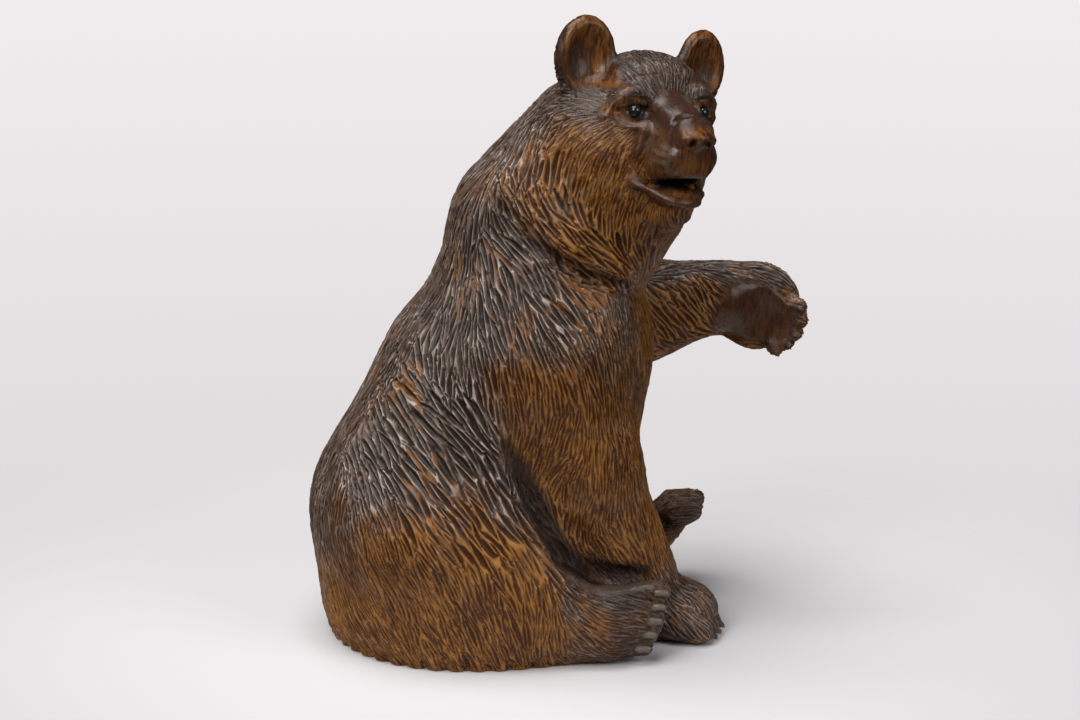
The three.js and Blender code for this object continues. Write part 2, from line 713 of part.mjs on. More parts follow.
  const place = new Map();
  const outPoints = [];
  const outFaces = [];
  for (let f = 0; f < alive.length; f++) {
    if (!alive[f]) continue;
    for (let i = 0; i < 3; i++) {
      const v = faces[f * 3 + i];
      if (!place.has(v)) {
        place.set(v, outPoints.length / 3);
        outPoints.push(points[v * 3], points[v * 3 + 1], points[v * 3 + 2]);
      }
      outFaces.push(place.get(v));
    }
  }
  return { points: outPoints, faces: outFaces };
}

const wasm = await Module();
wasm.setup();

function solidOf(points, faces) {
  const vertProperties = Float32Array.from(points);
  const triVerts = Uint32Array.from(faces);
  return new wasm.Manifold(new wasm.Mesh({ numProp: 3, vertProperties, triVerts }));
}

function solidOfGeometry(geometry) {
  const bare = geometry.clone();
  bare.deleteAttribute('normal');
  bare.deleteAttribute('uv');
  const merged = mergeVertices(bare, 1e-4);
  return solidOf(merged.attributes.position.array, merged.index.array);
}

function geometryOf(solid) {
  const mesh = solid.getMesh();
  const geometry = new THREE.BufferGeometry();
  geometry.setAttribute('position', new THREE.Float32BufferAttribute(mesh.vertProperties, 3));
  geometry.setIndex(new THREE.BufferAttribute(mesh.triVerts, 1));
  geometry.computeVertexNormals();
  return geometry;
}

// The block, traced a little past its underside, which is then sawn off flat. The grid reaches
// past every mass by enough for the blends between them.
const grown = new THREE.Box3();
for (const form of [
  trunk, neck, ...haunches, nearHindLeg, nearHindFoot, farHindLeg, farHindFoot, foreleg, forepaw,
  raisedArm, raisedPaw, head,
]) {
  grown.union(form.box);
}
grown.min.z = -SPARE_BELOW;
grown.expandByScalar(GRID_MARGIN * GRID_SPACING);
const rough = trace(carving, grown.min.toArray(), grown.max.toArray(), GRID_SPACING);
const faceted = thin(rough, FACETS);
let wood = solidOf(faceted.points.map((v) => v * STEP), faceted.faces);

const sawn = new THREE.BoxGeometry(2 * HEIGHT, 2 * HEIGHT, HEIGHT);
sawn.translate(0, 0, -HEIGHT / 2);
wood = wood.subtract(solidOfGeometry(sawn));

const eyes = [];
for (const [name, side] of [['glass_eye_left', 1], ['glass_eye_right', -1]]) {
  const local = new THREE.Vector3(EYE_BEAD[0], EYE_BEAD[1] * side, EYE_BEAD[2]);
  const at = placed(vector(HEAD_AT), turned(HEAD_TURN), local).multiplyScalar(STEP);
  const socket = new THREE.SphereGeometry(
    EYE_DIAMETER / 2 + EYE_CLEARANCE, EYE_FACETS_ROUND, EYE_FACETS_ROUND - 4);
  wood = wood.subtract(solidOfGeometry(socket.translate(at.x, at.y, at.z)));
  const bead = new THREE.SphereGeometry(EYE_DIAMETER / 2, EYE_FACETS_ROUND, EYE_FACETS_ROUND - 4);
  const glass = new THREE.MeshStandardMaterial({ color: 0x120a05, roughness: 0.06, metalness: 0 });
  const eye = new THREE.Mesh(bead, glass);
  eye.name = name;
  eye.position.copy(at);
  eyes.push(eye);
}

const stained = new THREE.MeshStandardMaterial({ color: 0x4a2a14, roughness: 0.42, metalness: 0 });
const body = new THREE.Mesh(geometryOf(wood), stained);
body.name = 'bear_body';

const bear = new THREE.Group();
bear.add(body, ...eyes);
export default bear;
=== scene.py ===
"""A seated bear carved from one block of stained linden wood, with two glass bead eyes.

The form is the frame's own: eggs and tapered limbs blended into one surface, drawn in steps,
of which the figure is 195.53 tall. The fur is gouged into that surface stroke by stroke.
"""
import math

import bmesh
import bpy
import numpy as np
import openvdb
from mathutils import Matrix, Vector, kdtree


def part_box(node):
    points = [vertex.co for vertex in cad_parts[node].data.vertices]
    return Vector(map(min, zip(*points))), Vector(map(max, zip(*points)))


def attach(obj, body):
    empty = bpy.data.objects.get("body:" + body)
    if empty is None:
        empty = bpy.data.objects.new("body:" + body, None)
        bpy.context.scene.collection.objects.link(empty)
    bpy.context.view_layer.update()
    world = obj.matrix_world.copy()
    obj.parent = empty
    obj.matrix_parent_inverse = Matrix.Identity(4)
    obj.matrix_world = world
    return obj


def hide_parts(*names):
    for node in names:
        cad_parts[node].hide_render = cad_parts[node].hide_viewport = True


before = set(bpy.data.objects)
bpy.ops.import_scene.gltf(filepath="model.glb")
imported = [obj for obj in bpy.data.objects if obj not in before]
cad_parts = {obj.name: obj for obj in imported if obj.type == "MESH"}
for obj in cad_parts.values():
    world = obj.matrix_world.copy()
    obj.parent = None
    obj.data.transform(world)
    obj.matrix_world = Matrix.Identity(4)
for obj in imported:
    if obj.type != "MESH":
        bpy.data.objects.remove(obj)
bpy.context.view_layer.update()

STEPS_TALL = 195.53
BODY_LOW, BODY_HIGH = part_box("bear_body")
STEP = (BODY_HIGH.z - BODY_LOW.z) / STEPS_TALL

# The grid that the form is traced on, in steps, and the shares of the triangles for the head, the
# side that shows and the hidden side.
GRID_SPACING = 0.6
COARSE_CELLS = 5
GRID_LOW = np.array((-72.0, -57.0, -1.8))
GRID_HIGH = np.array((97.0, 63.0, 200.4))
TRIANGLES = 196000
ZONE_SHARES = (0.36, 0.44, 0.20)
FAR = 60.0
LEAST_MARGIN = 14.0

# The head's own axes run forward, left and up from HEAD_AT. Its parts are placed in them, in steps.
HEAD_AT = np.array((37.2, -6.1, 159.0))
HEAD_TURN = {"yaw": -62, "pitch": 10, "roll": 6.7}
WHISKER_FOLDS = (
    ((21.8, 8.8, -3.2), (27.3, 9.6, -5.3), (31.4, 8.4, -6.6)),
    ((21.2, 9.4, -5.6), (26.6, 10.2, -7.6), (30.9, 8.8, -8.7)),
)
TOES = 5
FOREPAW_TOES = [5 * (i - 2) for i in range(TOES)]
TRUNK_MIDDLE = (-16, 0)
LOCKS_ROUND = 44
LOCK_NOTCH = 1.7
LOCK_TOP = 9


# The form.

def turned(yaw=0, pitch=0, roll=0):
    """Columns are forward, left and up. Yaw turns left, pitch lifts the front, roll drops the left."""
    y, p, r = np.radians((yaw, pitch, roll))
    forward = np.array((np.cos(p) * np.cos(y), np.cos(p) * np.sin(y), np.sin(p)))
    level = np.array((-np.sin(y), np.cos(y), 0.0))
    over = np.cross(forward, level)
    return np.stack(
        (forward, level * np.cos(r) - over * np.sin(r), over * np.cos(r) + level * np.sin(r)), 1
    )


def smooth_min(a, b, blend):
    h = np.maximum(blend - np.abs(a - b), 0) / blend
    return np.minimum(a, b) - h * h * blend * 0.25


def smooth_max(a, b, blend):
    return -smooth_min(-a, -b, blend)


def ramp(x, start, end):
    t = np.clip((x - start) / (end - start), 0, 1)
    return t * t * (3 - 2 * t)


def egg_distance(p, centre, radii, axes):
    q = (p - centre) @ axes
    near = np.linalg.norm(q / radii, axis=1)
    slope = np.linalg.norm(q / (radii * radii), axis=1)
    return near * (near - 1) / np.maximum(slope, 1e-9)


def limb_distance(p, a, b, ra, rb):
    """Distance to a round limb that tapers from one ball to another."""
    along = b - a
    length2 = along @ along
    taper = ra - rb
    slant2 = length2 - taper * taper
    from_a = p - a
    y = from_a @ along
    z = y - length2
    off = from_a * length2 - np.outer(y, along)
    x2 = np.einsum("ij,ij->i", off, off)
    y2 = y * y * length2
    z2 = z * z * length2
    k = np.sign(taper) * taper * taper * x2
    side = (np.sqrt(x2 * slant2 / length2) + y * taper) / length2 - ra
    far_end = np.sqrt(x2 + z2) / length2 - rb
    near_end = np.sqrt(x2 + y2) / length2 - ra
    return np.where(
        np.sign(z) * slant2 * z2 > k, far_end, np.where(np.sign(y) * slant2 * y2 < k, near_end, side)
    )


class Form:
    """Eggs and limbs joined softly, and hollows cut softly, in one set of axes."""

    def __init__(self, origin=(0, 0, 0), axes=None):
        self.origin = np.array(origin, float)
        self.axes = np.eye(3) if axes is None else axes
        self.side = 1
        self.items = []

    def sides(self):
        """The right side, then the left. What is added meanwhile lands there, drawn as on the left."""
        for self.side in (-1, 1):
            yield self.side

    def place(self, point):
        return self.origin + self.axes @ (np.array(point, float) * (1, self.side, 1))

    def add(self, distance, shape, middle, size, blend, cut):
        reach = size + max(LEAST_MARGIN, blend + 4)
        self.items.append((distance, shape, middle, reach, blend, cut))
        return self

    def egg(self, centre, radii, blend, cut=False, yaw=0, pitch=0, roll=0):
        at, radii = self.place(centre), np.array(radii, float)
        axes = self.axes @ turned(yaw * self.side, pitch, roll * self.side)
        return self.add(egg_distance, (at, radii, axes), at, radii.max(), blend, cut)

    def hollow(self, centre, radii, blend, **turn):
        return self.egg(centre, radii, blend, True, **turn)

    def limb(self, a, b, ra, rb, blend, cut=False):
        a, b = self.place(a), self.place(b)
        size = np.linalg.norm(a - b) / 2 + max(ra, rb)
        return self.add(limb_distance, (a, b, ra, rb), (a + b) / 2, size, blend, cut)

    def chain(self, blend, *stops, cut=False):
        """Limbs through stops, each of them x, y, z and radius."""
        for (*a, ra), (*b, rb) in zip(stops, stops[1:]):
            self.limb(a, b, ra, rb, blend, cut)
        return self

    def groove(self, blend, *stops):
        return self.chain(blend, *stops, cut=True)

    def at(self, p):
        found = np.full(len(p), FAR)
        for distance, shape, middle, reach, blend, cut in self.items:
            off = p - middle
            near = np.flatnonzero(np.einsum("ij,ij->i", off, off) < reach * reach)
            if not len(near):
                continue
            v = distance(p[near], *shape)
            if cut:
                found[near] = smooth_max(found[near], -v, blend)
            else:
                found[near] = smooth_min(found[near], v, blend)
        return found


def trunk_form():
    return (
        Form()
        .egg((-20, 0, 38), (46, 48, 42), 1)
        .egg((-16, 0, 8), (45, 49, 30), 14)
        .egg((-6, 0, 74), (40, 40, 42), 18)
        .egg((2, 4, 50), (34, 36, 36), 14)
        .egg((10, 2, 94), (31, 33, 32), 16)
        .egg((1, 0, 118), (24, 27, 25), 14)
    )


def neck_form():
    return (
        Form()
        .limb((5, -2, 128), (24, -4, 152), 27.5, 25, 1)
        .limb((17, 0, 114), (31, -8, 137), 21, 19.5, 8)
        .limb((-1, -18, 141), (14, -24, 130), 8, 7.5, 7)
        .limb((14, -24, 130), (28, -18, 120), 7.5, 6, 6)
    )


def haunch_form(side):
    return Form().limb((-24, 20 * side, 42), (1, 32 * side, 24), 30, 15.5, 4)


def near_hind_leg_form():
    return (
        Form()
        .limb((-2, -32, 14), (26, -36, 10.5), 16, 10.5, 8)
        .chain(3, (10, -34, 23.5, 3.2), (26, -34.5, 19.4, 3.4), (41, -35, 22.4, 2.8))
    )


def near_toe_tip(t):
    """Tip of a toe of the near hind foot, from the lowest toe (0) to the highest (1)."""
    return np.array((38.0 + 8.5 * t - 3.0 * t * t, -38.4 + 2.2 * t, 5.2 + 17.2 * t))


def near_hind_foot_form():
    foot = Form().egg((31, -36, 12.5), (13, 7.5, 11), 6, yaw=4, pitch=4)
    for i in range(TOES):
        t = i / (TOES - 1)
        tip = near_toe_tip(t)
        foot.limb((34 + 1.5 * t, -38 + 2 * t, 5 + 16 * t), tip, 3.3, 2.8, 0.6)
        foot.limb(tip + (-1.9, -2.2, 0.2), tip + (1.0, -2.5, 0.2), 1.6, 1.3, 0.3)
    return foot


def far_hind_leg_form():
    return Form().limb((8, 34, 26), (38, 44, 13), 15, 10, 8)


def far_hind_foot_form():
    foot = Form((49, 45, 22), turned(yaw=4, pitch=50))
    foot.egg((-4, 0, 0.5), (13, 9.5, 7.0), 6)
    for i in range(TOES):
        v = (i - 2) * 4.1
        foot.limb((3 - 0.15 * abs(v), v, 0.6), (9.4 - 0.35 * abs(v), v * 1.1, -2.8), 4.2, 3.0, 0.9)
    return foot


def foreleg_form():
    return (
        Form()
        .egg((8, -21, 98), (23, 17, 30), 8)
        .chain(10, (10, -24, 92, 20), (18, -23, 60, 17), (33.5, -13, 20, 15.5))
    )


def forepaw_tip(v):
    """Tip of the toe of the standing forepaw that lies v off its middle."""
    return np.array((59 - 0.3 * abs(v), -10 + v * 1.05, 4))


def forepaw_form():
    paw = Form().egg((46, -9, 8), (16, 13, 10.5), 8, yaw=-8)
    for v in FOREPAW_TOES:
        tip = forepaw_tip(v)
        paw.limb((50 - 0.1 * abs(v), -9 + v, 5.6), tip, 5.2, 4, 1.0)
        paw.limb(tip + (1.5, 0, 0.6), tip + (4.6, 0, -1.8), 1.6, 0.9, 0.5)
    return paw


def raised_arm_form():
    return (
        Form()
        .egg((6, 20, 100), (23, 17, 27), 8)
        .limb((14, 26, 96), (36, 34, 93), 19, 15.5, 10)
        .limb((36, 34, 93), (64, 36, 97.5), 15.5, 11.5, 8)
    )


def raised_toe_reach(i):
    return 13.0 - 0.4 * abs(i - 1)


def raised_toe_point(i, out, y, z):
    """A point of a toe of the raised paw, so far out from the middle of the paw."""
    a = math.radians(12 - 19 * i)
    return 76 + out * math.cos(a), y, z + out * math.sin(a)


def raised_paw_form():
    paw = Form().egg((75.5, 37, 94.0), (14, 9, 14.5), 6)
    for i in range(TOES):
        out = raised_toe_reach(i)
        paw.limb(raised_toe_point(i, 7, 35, 92.5), raised_toe_point(i, out, 31, 92.5), 4.2, 3.0, 1.5)
        root = raised_toe_point(i, out + 0.8, 29.4, 92.3)
        paw.limb(root, raised_toe_point(i, out + 1.0, 28.0, 91.8), 1.5, 1.1, 0.8)
    return paw.hollow((74.8, 27.0, 91.8), (10.5, 4.4, 10.5), 1.5)


def add_skull(head):
    head.egg((-2, 0, 4), (20, 19.5, 19), 1)
    head.egg((1, 0, 14.6), (14, 16, 9.5), 5)
    for _ in head.sides():
        head.egg((-8, 13, -7), (15, 12.5, 17), 7)
        head.egg((-14, 15, -14), (12, 11, 17), 7)
        head.egg((9.5, 9, 9.8), (6.8, 7.2, 4.6), 3)
        head.egg((7, 11.5, -3), (8, 7, 9), 6)
    head.egg((-2, 0, -20), (16, 15, 16), 8)


def add_muzzle(head):
    for _ in head.sides():
        head.limb((12, 2.8, 7.0), (30.5, 2.6, 0.2), 5.0, 3.5, 3)
    head.limb((12, 0, 7.6), (30.5, 0, 0.6), 5.0, 3.4, 3)
    head.limb((6, 0, -7), (25.3, 0, -6.4), 11.5, 7.4, 8)
    for _ in head.sides():
        head.egg((26.6, 5.6, -7.4), (6.4, 4.2, 4.4), 2.2, yaw=-8)
        head.limb((12, 7.6, -12.0), (29.4, 2.8, -11.2), 3.9, 3.2, 4)
        head.chain(1.5, (18.2, 7.6, 5.6, 1.0), (19.0, 9.8, 0.4, 1.3), (17.8, 12.0, -7.0, 1.0))
    head.limb((5, 0, -23), (21.6, 0, -23.4), 10, 5.2, 3)
    head.egg((31.6, 0, -2.5), (6.0, 6.7, 3.7), 0.6)


def add_ears(head):
    for side in head.sides():
        y, z = 20.1 - 0.4 * side, 20.4 - 0.9 * side
        near = side < 0
        cup = (4.8, 7.4, 10.4) if near else (4.6, 6.4, 9.4)
        head.egg((0, y, z), (4.4, 9.8, 13.4) if near else (4.2, 9, 12.2), 2.5, yaw=10, pitch=-6)
        head.hollow((4.2, y, z + 0.2), cup, 1.5, yaw=10, pitch=-6)


def add_mouth(head):
    head.hollow((28.5, 0, -16.7), (10.5, 7.3, 2.7), 1.2, pitch=-10)
    head.egg((19.6, 0, -18.7), (9.4, 8.0, 2.6), 1.2, pitch=-24)


def add_lips_and_brows(head):
    lip = (14.0, 11.8, -15.2, 1.0), (22.0, 7.8, -18.6, 1.2), (26.0, 4.4, -20.8, 1.2), (27.4, 0, -21.6, 1.4)
    brow = (12.6, 15.6, 9.2, 1.8), (15.0, 11.2, 11.2, 2.1), (16.2, 6.4, 9.4, 1.2)
    for side in head.sides():
        head.chain(1.2, *lip)
        head.chain(3, (11.0, 18.8 if side < 0 else 17.6, 4.8, 1.0), *brow)


def add_hollows_of_face(head):
    """Nostrils, the lines round nose and whiskers, the eye sockets and the corners of the mouth."""
    for side in head.sides():
        head.hollow((36.8, 2.7, -3.9), (3.6, 1.3, 1.6), 0.4)
        head.groove(0.6, (36.4, 3.4, -4.6, 1.0), (33.6, 6.7, -5.4, 0.6))
        head.groove(1, (30.6, 0, 4.9, 1.0), (29.2, 6.6, 2.6, 1.2), (31.0, 8.6, -2.2, 0.9))
        head.groove(0.8, (31.0, 8.6, -2.2, 0.9), (31.4, 8.2, -4.6, 0.9), (35.6, 4.6, -7.6, 0.7))
        head.groove(1, (24.0, 10.2, -10.6, 0.8), (30.0, 8.2, -11.4, 0.6))
        for a, b, c in WHISKER_FOLDS:
            head.groove(0.3, (*a, 0.45), (*b, 0.5), (*c, 0.4))
        head.hollow((18.8, 11.2, 6.0), (5.0, 5.0, 4.3), 0.8, yaw=30)
        head.hollow((16.6, 14.4, 4.9), (4.0, 4.0, 2.1), 0.8, yaw=40, roll=-16)
        head.groove(2, (19.0, 9.6, 4.6, 2.4), (28.4, 8.8, 0.4, 1.9))
        head.groove(0.5, (15.6, 13.4, -14.4, 0.9), (18.4, 11.6, -15.2, 1.0))
        head.groove(0.6, (18.4, 11.6, -15.2, 1.0), (24.6, 8.0, -16.6, 1.5))
        outer = 18.6 if side < 0 else 17.2
        head.limb((11.2, outer, 4.0), (15.6, 13.0, 0.7), 0.9, 1.2, 2)
        head.limb((15.6, 13.0, 0.7), (18.2, 8.6, 2.6), 1.2, 0.8, 1.5)


def add_eye_mounds(head):
    for _ in head.sides():
        head.egg((14.0, 11.2, 5.6), (1.6, 2.4, 2.3), 0.8)
        head.chain(0.8, (16.4, 8.8, 7.9, 0.8), (16.4, 11.6, 8.9, 1.0), (15.0, 14.4, 7.9, 0.7))
    head.limb((17.6, 8.4, 7.8), (18.4, 8.7, 4.2), 1.3, 1.4, 1.6)


def head_form():
    head = Form(HEAD_AT, turned(**HEAD_TURN))
    add_skull(head)
    add_muzzle(head)
    add_ears(head)
    add_mouth(head)
    add_lips_and_brows(head)
    add_hollows_of_face(head)
    add_eye_mounds(head)
    tongue = ((22.6, 0, -17.6), (5.6, 4.0, 1.5))
    return head.egg(*tongue, 0.8, pitch=-20)


def crease_form():
    """Deep gouged lines: haunch against foreleg, ruff against shoulder."""
    haunch = (-5, -43, 72, 0.8), (5, -42, 51, 2.4), (13, -39.5, 35, 2.8), (23, -33, 27, 2.4)
    ruff = (-9, -26, 143, 0.9), (4, -31.7, 130, 1.7), (19, -31.7, 120, 1.7), (32, -22, 114, 1.2)
    return Form().chain(1, *haunch, (38, -29, 25.5, 0.8)).chain(1, *ruff)


TRUNK, NECK, HEAD, CREASES = trunk_form(), neck_form(), head_form(), crease_form()
HAUNCHES = (haunch_form(-1), haunch_form(1))
NEAR_LEG, NEAR_FOOT = near_hind_leg_form(), near_hind_foot_form()
FAR_LEG, FAR_FOOT = far_hind_leg_form(), far_hind_foot_form()
FORELEG, FOREPAW = foreleg_form(), forepaw_form()
ARM, PAW = raised_arm_form(), raised_paw_form()


def wood_at(p):
    """Signed distance from the carved surface, without its fur, in steps."""
    z = p[:, 2]
    thighs = smooth_min(HAUNCHES[0].at(p), HAUNCHES[1].at(p), 4)
    wood = smooth_min(TRUNK.at(p), thighs, 4 + 8 * ramp(z, 60, 30))
    angle = np.arctan2(p[:, 1] - TRUNK_MIDDLE[1], p[:, 0] - TRUNK_MIDDLE[0])
    notch = LOCK_NOTCH * (1 - np.abs(np.sin(angle * LOCKS_ROUND / 2)))
    wood = wood + notch * ramp(z, LOCK_TOP, 0)
    wood = smooth_min(wood, NECK.at(p), 4)
    wood = smooth_min(wood, HEAD.at(p), 3)
    wood = smooth_min(wood, smooth_min(ARM.at(p), PAW.at(p), 4), 8)
    wood = smooth_min(wood, smooth_min(NEAR_LEG.at(p), NEAR_FOOT.at(p), 2.5), 8)
    wood = smooth_min(wood, smooth_min(FAR_LEG.at(p), FAR_FOOT.at(p), 3), 8)
    wood = smooth_min(wood, smooth_min(FORELEG.at(p), FOREPAW.at(p), 5), 2.5 + 8 * ramp(z, 50, 88))
    wood = smooth_max(wood, -CREASES.at(p), 2.5)
    return smooth_max(wood, -z, 0.3)


# The fine mesh.

def traced():
    """The surface as quads, from a grid that is worked out only near the surface."""
    counts = np.ceil((GRID_HIGH - GRID_LOW) / GRID_SPACING).astype(int) + 1
    counts += (-counts) % COARSE_CELLS
    axes = [GRID_LOW[i] + GRID_SPACING * np.arange(counts[i]) for i in range(3)]
    middle = GRID_SPACING * (COARSE_CELLS - 1) / 2
    coarse = np.stack(
        np.meshgrid(*[a[::COARSE_CELLS] + middle for a in axes], indexing="ij"), -1
    )
    rough = wood_at(coarse.reshape(-1, 3)).reshape(coarse.shape[:3]).astype(np.float32)
    full = rough
    for axis in range(3):
        full = np.repeat(full, COARSE_CELLS, axis)
    close = np.argwhere(np.abs(full) < GRID_SPACING * COARSE_CELLS * 1.15)
    exact = wood_at(GRID_LOW + close * GRID_SPACING)
    full[close[:, 0], close[:, 1], close[:, 2]] = exact
    grid = openvdb.FloatGrid(background=FAR)
    grid.copyFromArray(np.ascontiguousarray(full))
    points, _, quads = grid.convertToPolygons(isovalue=0.0, adaptivity=0.0)
    return points * GRID_SPACING + GRID_LOW, np.asarray(quads, int)


def halved(points, quads):
    """Each quad becomes four."""
    n = len(points)
    sides = np.stack((quads, np.roll(quads, -1, 1)), 2)
    key = sides.min(2) * n + sides.max(2)
    unique, place = np.unique(key.ravel(), return_inverse=True)
    place = place.reshape(-1, 4)
    mids = (points[unique // n] + points[unique % n]) / 2
    centres = points[quads].mean(1)
    edge = n + place
    centre = np.repeat((n + len(unique) + np.arange(len(quads)))[:, None], 4, 1)
    small = np.stack((quads, edge, centre, np.roll(edge, 1, 1)), 2).reshape(-1, 4)
    return np.concatenate((points, mids, centres)), small


def new_object(name, data):
    made = bpy.data.objects.new(name, data)
    bpy.context.scene.collection.objects.link(made)
    return made


def area_vectors(points, quads):
    """Vectors square to the quads, as long as twice their area."""
    a, b, c, d = (points[quads[:, corner]] for corner in range(4))
    return np.cross(c - a, d - b)


def point_normals(points, quads):
    vectors = area_vectors(points, quads)
    total = np.zeros_like(points)
    for axis in range(3):
        for corner in range(4):
            total[:, axis] += np.bincount(quads[:, corner], vectors[:, axis], len(points))
    return total / np.maximum(np.linalg.norm(total, axis=1), 1e-12)[:, None]


# The fur.

# Fur lines: gouge width, length and depth in steps, then where the fur lies, root to tip,
# each point with how dark the stain is there.
BOTH_SIDES = [
    (1.7, 9, 0.50, [(5, -8, 168, 1), (-6, -12, 154, 1), (-19, -11, 139, 1), (-28, -12, 108, 1),
        (-39, -17, 90, 1), (-53, -14, 67, 1), (-62, -17, 49, 0.9), (-63, -15, 32, 0.75),
        (-60, -17, 16, 0.45), (-57, -23, 8, 0.2)]),
    (2.0, 10, 0.55, [(-2, -10, 160, 0.9), (-6, -18, 151, 0.9), (-13, -20, 139, 0.9), (-16, -20, 125, 0.9),
        (-18, -25, 111, 0.9), (-22, -30, 97, 0.9), (-22, -35, 85, 0.9)]),
    (2.8, 16, 0.80, [(-36, -24, 87, 1), (-28, -33, 80, 1), (-19, -39, 73, 0.95), (-10, -43, 64, 0.85),
        (-3, -45, 52, 0.75), (6, -44, 39, 0.55), (15, -43, 27, 0.5)]),
    (3.0, 17, 0.85, [(-46, -20, 79, 1), (-39, -30, 71, 1), (-31, -40, 62, 0.95), (-23, -47, 52, 0.75),
        (-16, -49, 43, 0.3), (-8, -49, 33, 0.1)]),
    (2.8, 16, 0.80, [(-50, -22, 68, 1), (-44, -33, 60, 1), (-38, -41, 52, 0.8), (-34, -46, 44, 0.35)]),
    (1.5, 9, 0.40, [(-25, -48, 50, 0.45), (-17, -51, 39, 0.1), (-12, -51, 27, 0), (-6, -50, 11, 0)]),
    (2.3, 12, 0.70, [(-51, -22, 66, 1), (-46, -34, 58, 0.95), (-42, -40, 50, 0.7)]),
    (1.4, 8, 0.36, [(-42, -40, 50, 0.7), (-40, -46, 42, 0.35), (-33, -48, 27, 0), (-26, -48, 11, 0)]),
    (1.4, 8, 0.36, [(-56, -27, 49, 0.8), (-56, -32, 31, 0.5), (-50, -34, 17, 0.1), (-43, -39, 6, 0)]),
    (1.4, 8, 0.40, [(0, -46, 42, 0.4), (6, -47, 31, 0.1), (8, -49, 20, 0), (8, -47, 7, 0)]),
    (1.5, 8, 0.40, [(-62, 0, 60, 1), (-65, 0, 35, 0.8), (-62, 0, 6, 0.2)]),
]
NEAR_SIDE = [
    (2.4, 14, 0.75, [(6, -21, 159, 0.6), (3, -27, 147, 0.45), (9, -32, 136, 0.3), (18, -33, 126, 0.25),
        (28, -24, 116, 0.3)]),
    (2.4, 14, 0.75, [(-4, -20, 151, 0.7), (-1, -28, 142, 0.4), (7, -32, 132, 0.3)]),
    (2.1, 10, 0.60, [(-9, -25, 134, 0.9), (0, -32, 124, 0.95), (7, -37, 114, 0.85), (16, -41, 103, 0.8)]),
    (1.7, 10, 0.45, [(16, -41, 103, 0.8), (20, -41, 92, 0.5), (22, -41, 84, 0.35)]),
    (1.3, 9, 0.34, [(23, -41, 82, 0.25), (24, -40, 71, 0.15), (24, -41, 56, 0.05), (22, -36, 42, 0)]),
    (2.1, 10, 0.55, [(-11, -27, 121, 0.9), (-6, -36, 108, 0.85), (-2, -41, 97, 0.7)]),
    (1.7, 10, 0.45, [(-2, -41, 97, 0.65), (0, -42, 88, 0.45), (1, -43, 80, 0.3)]),
    (1.4, 9, 0.36, [(3, -43, 80, 0.2), (2, -41, 70, 0.15), (0, -41, 62, 0.1)]),
    (1.6, 9, 0.42, [(30, -26, 111, 0.6), (32, -30, 97, 0.5), (34, -26, 80, 0.35), (37, -29, 59, 0.25),
        (40, -25, 41, 0.2), (44, -24, 25, 0.25)]),
    (1.7, 9, 0.40, [(44, -24, 25, 0.5), (51, -19, 14, 0.9), (59, -22, 7, 0.8)]),
    (1.7, 9, 0.40, [(40, -4, 26, 0.5), (50, -6, 16, 0.9), (62, -9, 7, 0.8)]),
    (1.3, 8, 0.34, [(17, -42, 78, 0.1), (13, -42, 66, 0.05), (8, -40, 56, 0.1)]),
    (1.5, 8, 0.40, [(27, -35, 41, 0), (34, -31, 31, 0.1)]),
    (1.3, 8, 0.32, [(15, -43, 27, 0.8), (23, -40, 22, 0.95), (36, -40, 20, 0.8)]),
    (1.3, 8, 0.32, [(20, -46, 14, 0.4), (36, -44, 12, 0.6)]),
    (1.3, 7, 0.36, [(17, -43, 24, 0.8), (21, -45, 18, 0.5), (26, -46, 8, 0.1)]),
    (1.8, 10, 0.50, [(38, 20, 111, 0.9), (55, 33, 110, 0.95), (70, 33, 108, 0.9), (84, 32, 103, 0.7)]),
    (2.1, 11, 0.60, [(41, 21, 104, 0.45), (47, 20, 98, 0), (54, 23, 89, 0)]),
    (2.1, 11, 0.60, [(54, 26, 105, 0.55), (59, 23, 97, 0), (64, 26, 90, 0)]),
]
FAR_SIDE = [
    (2.3, 13, 0.70, [(8, 16, 160, 0.7), (6, 24, 148, 0.6), (12, 27, 136, 0.6), (24, 22, 124, 0.5)]),
    (2.0, 10, 0.50, [(-8, 24, 134, 0.9), (2, 32, 122, 0.9), (14, 42, 108, 0.8), (36, 50, 96, 0.6),
        (62, 48, 97, 0.5), (82, 44, 95, 0.5)]),
    (1.9, 10, 0.50, [(-8, 36, 108, 0.8), (0, 40, 92, 0.6), (2, 42, 70, 0.4), (2, 44, 54, 0.3)]),
    (1.6, 8, 0.42, [(30, 32, 80, 0.2), (48, 36, 82, 0.1), (68, 37, 83, 0.2)]),
    (1.6, 9, 0.42, [(38, 0, 122, 0.3), (41, 4, 100, 0.2), (38, 8, 80, 0.15), (36, 10, 50, 0.1),
        (33, 10, 20, 0.1), (30, 10, 6, 0.1)]),
    (1.3, 8, 0.36, [(20, 48, 30, 0.4), (38, 50, 18, 0.4), (46, 46, 10, 0.4)]),
    (1.5, 8, 0.38, [(38, 40, 26, 0.5), (46, 42, 28, 0.7), (55, 42, 30, 0.6)]),
]
# How the guides along the fur lines are spread and weighed, then how strokes are thrown, kept apart
# and gouged, in steps and in shares of a stroke's own size.
GUIDE_SPACING = 9
GUIDE_SOFTNESS = 9
GUIDE_FALL = -2.2
POINTS_AT_ONCE = 20000
HEAD_STYLE = (1.12, 7.5, 0.22)
WIDER = np.array((0.80, 1.15, 1.9))
STROKES_TRIED = 140000
STROKES_AT_ONCE = 1500
JITTER = 0.15
STRAY = 0.10
SIZE_SPREAD = 0.16
LENGTH_SPREAD = 0.18
BEND_SPREAD = 0.012
ROOM_CELL = 6.0
POINT_CELL = 2.5
SIDE_GAP = 0.80
END_GAP = 0.80
REACH = 1.8
RIDGE_WIDTH = 0.35
END_OPEN = 0.8
STROKES_PER_STRAND_PATCH = 12
STRAND_SCALE = np.array((0.22, 2.1, 2.1))
TINTS = 6
SEED = 20


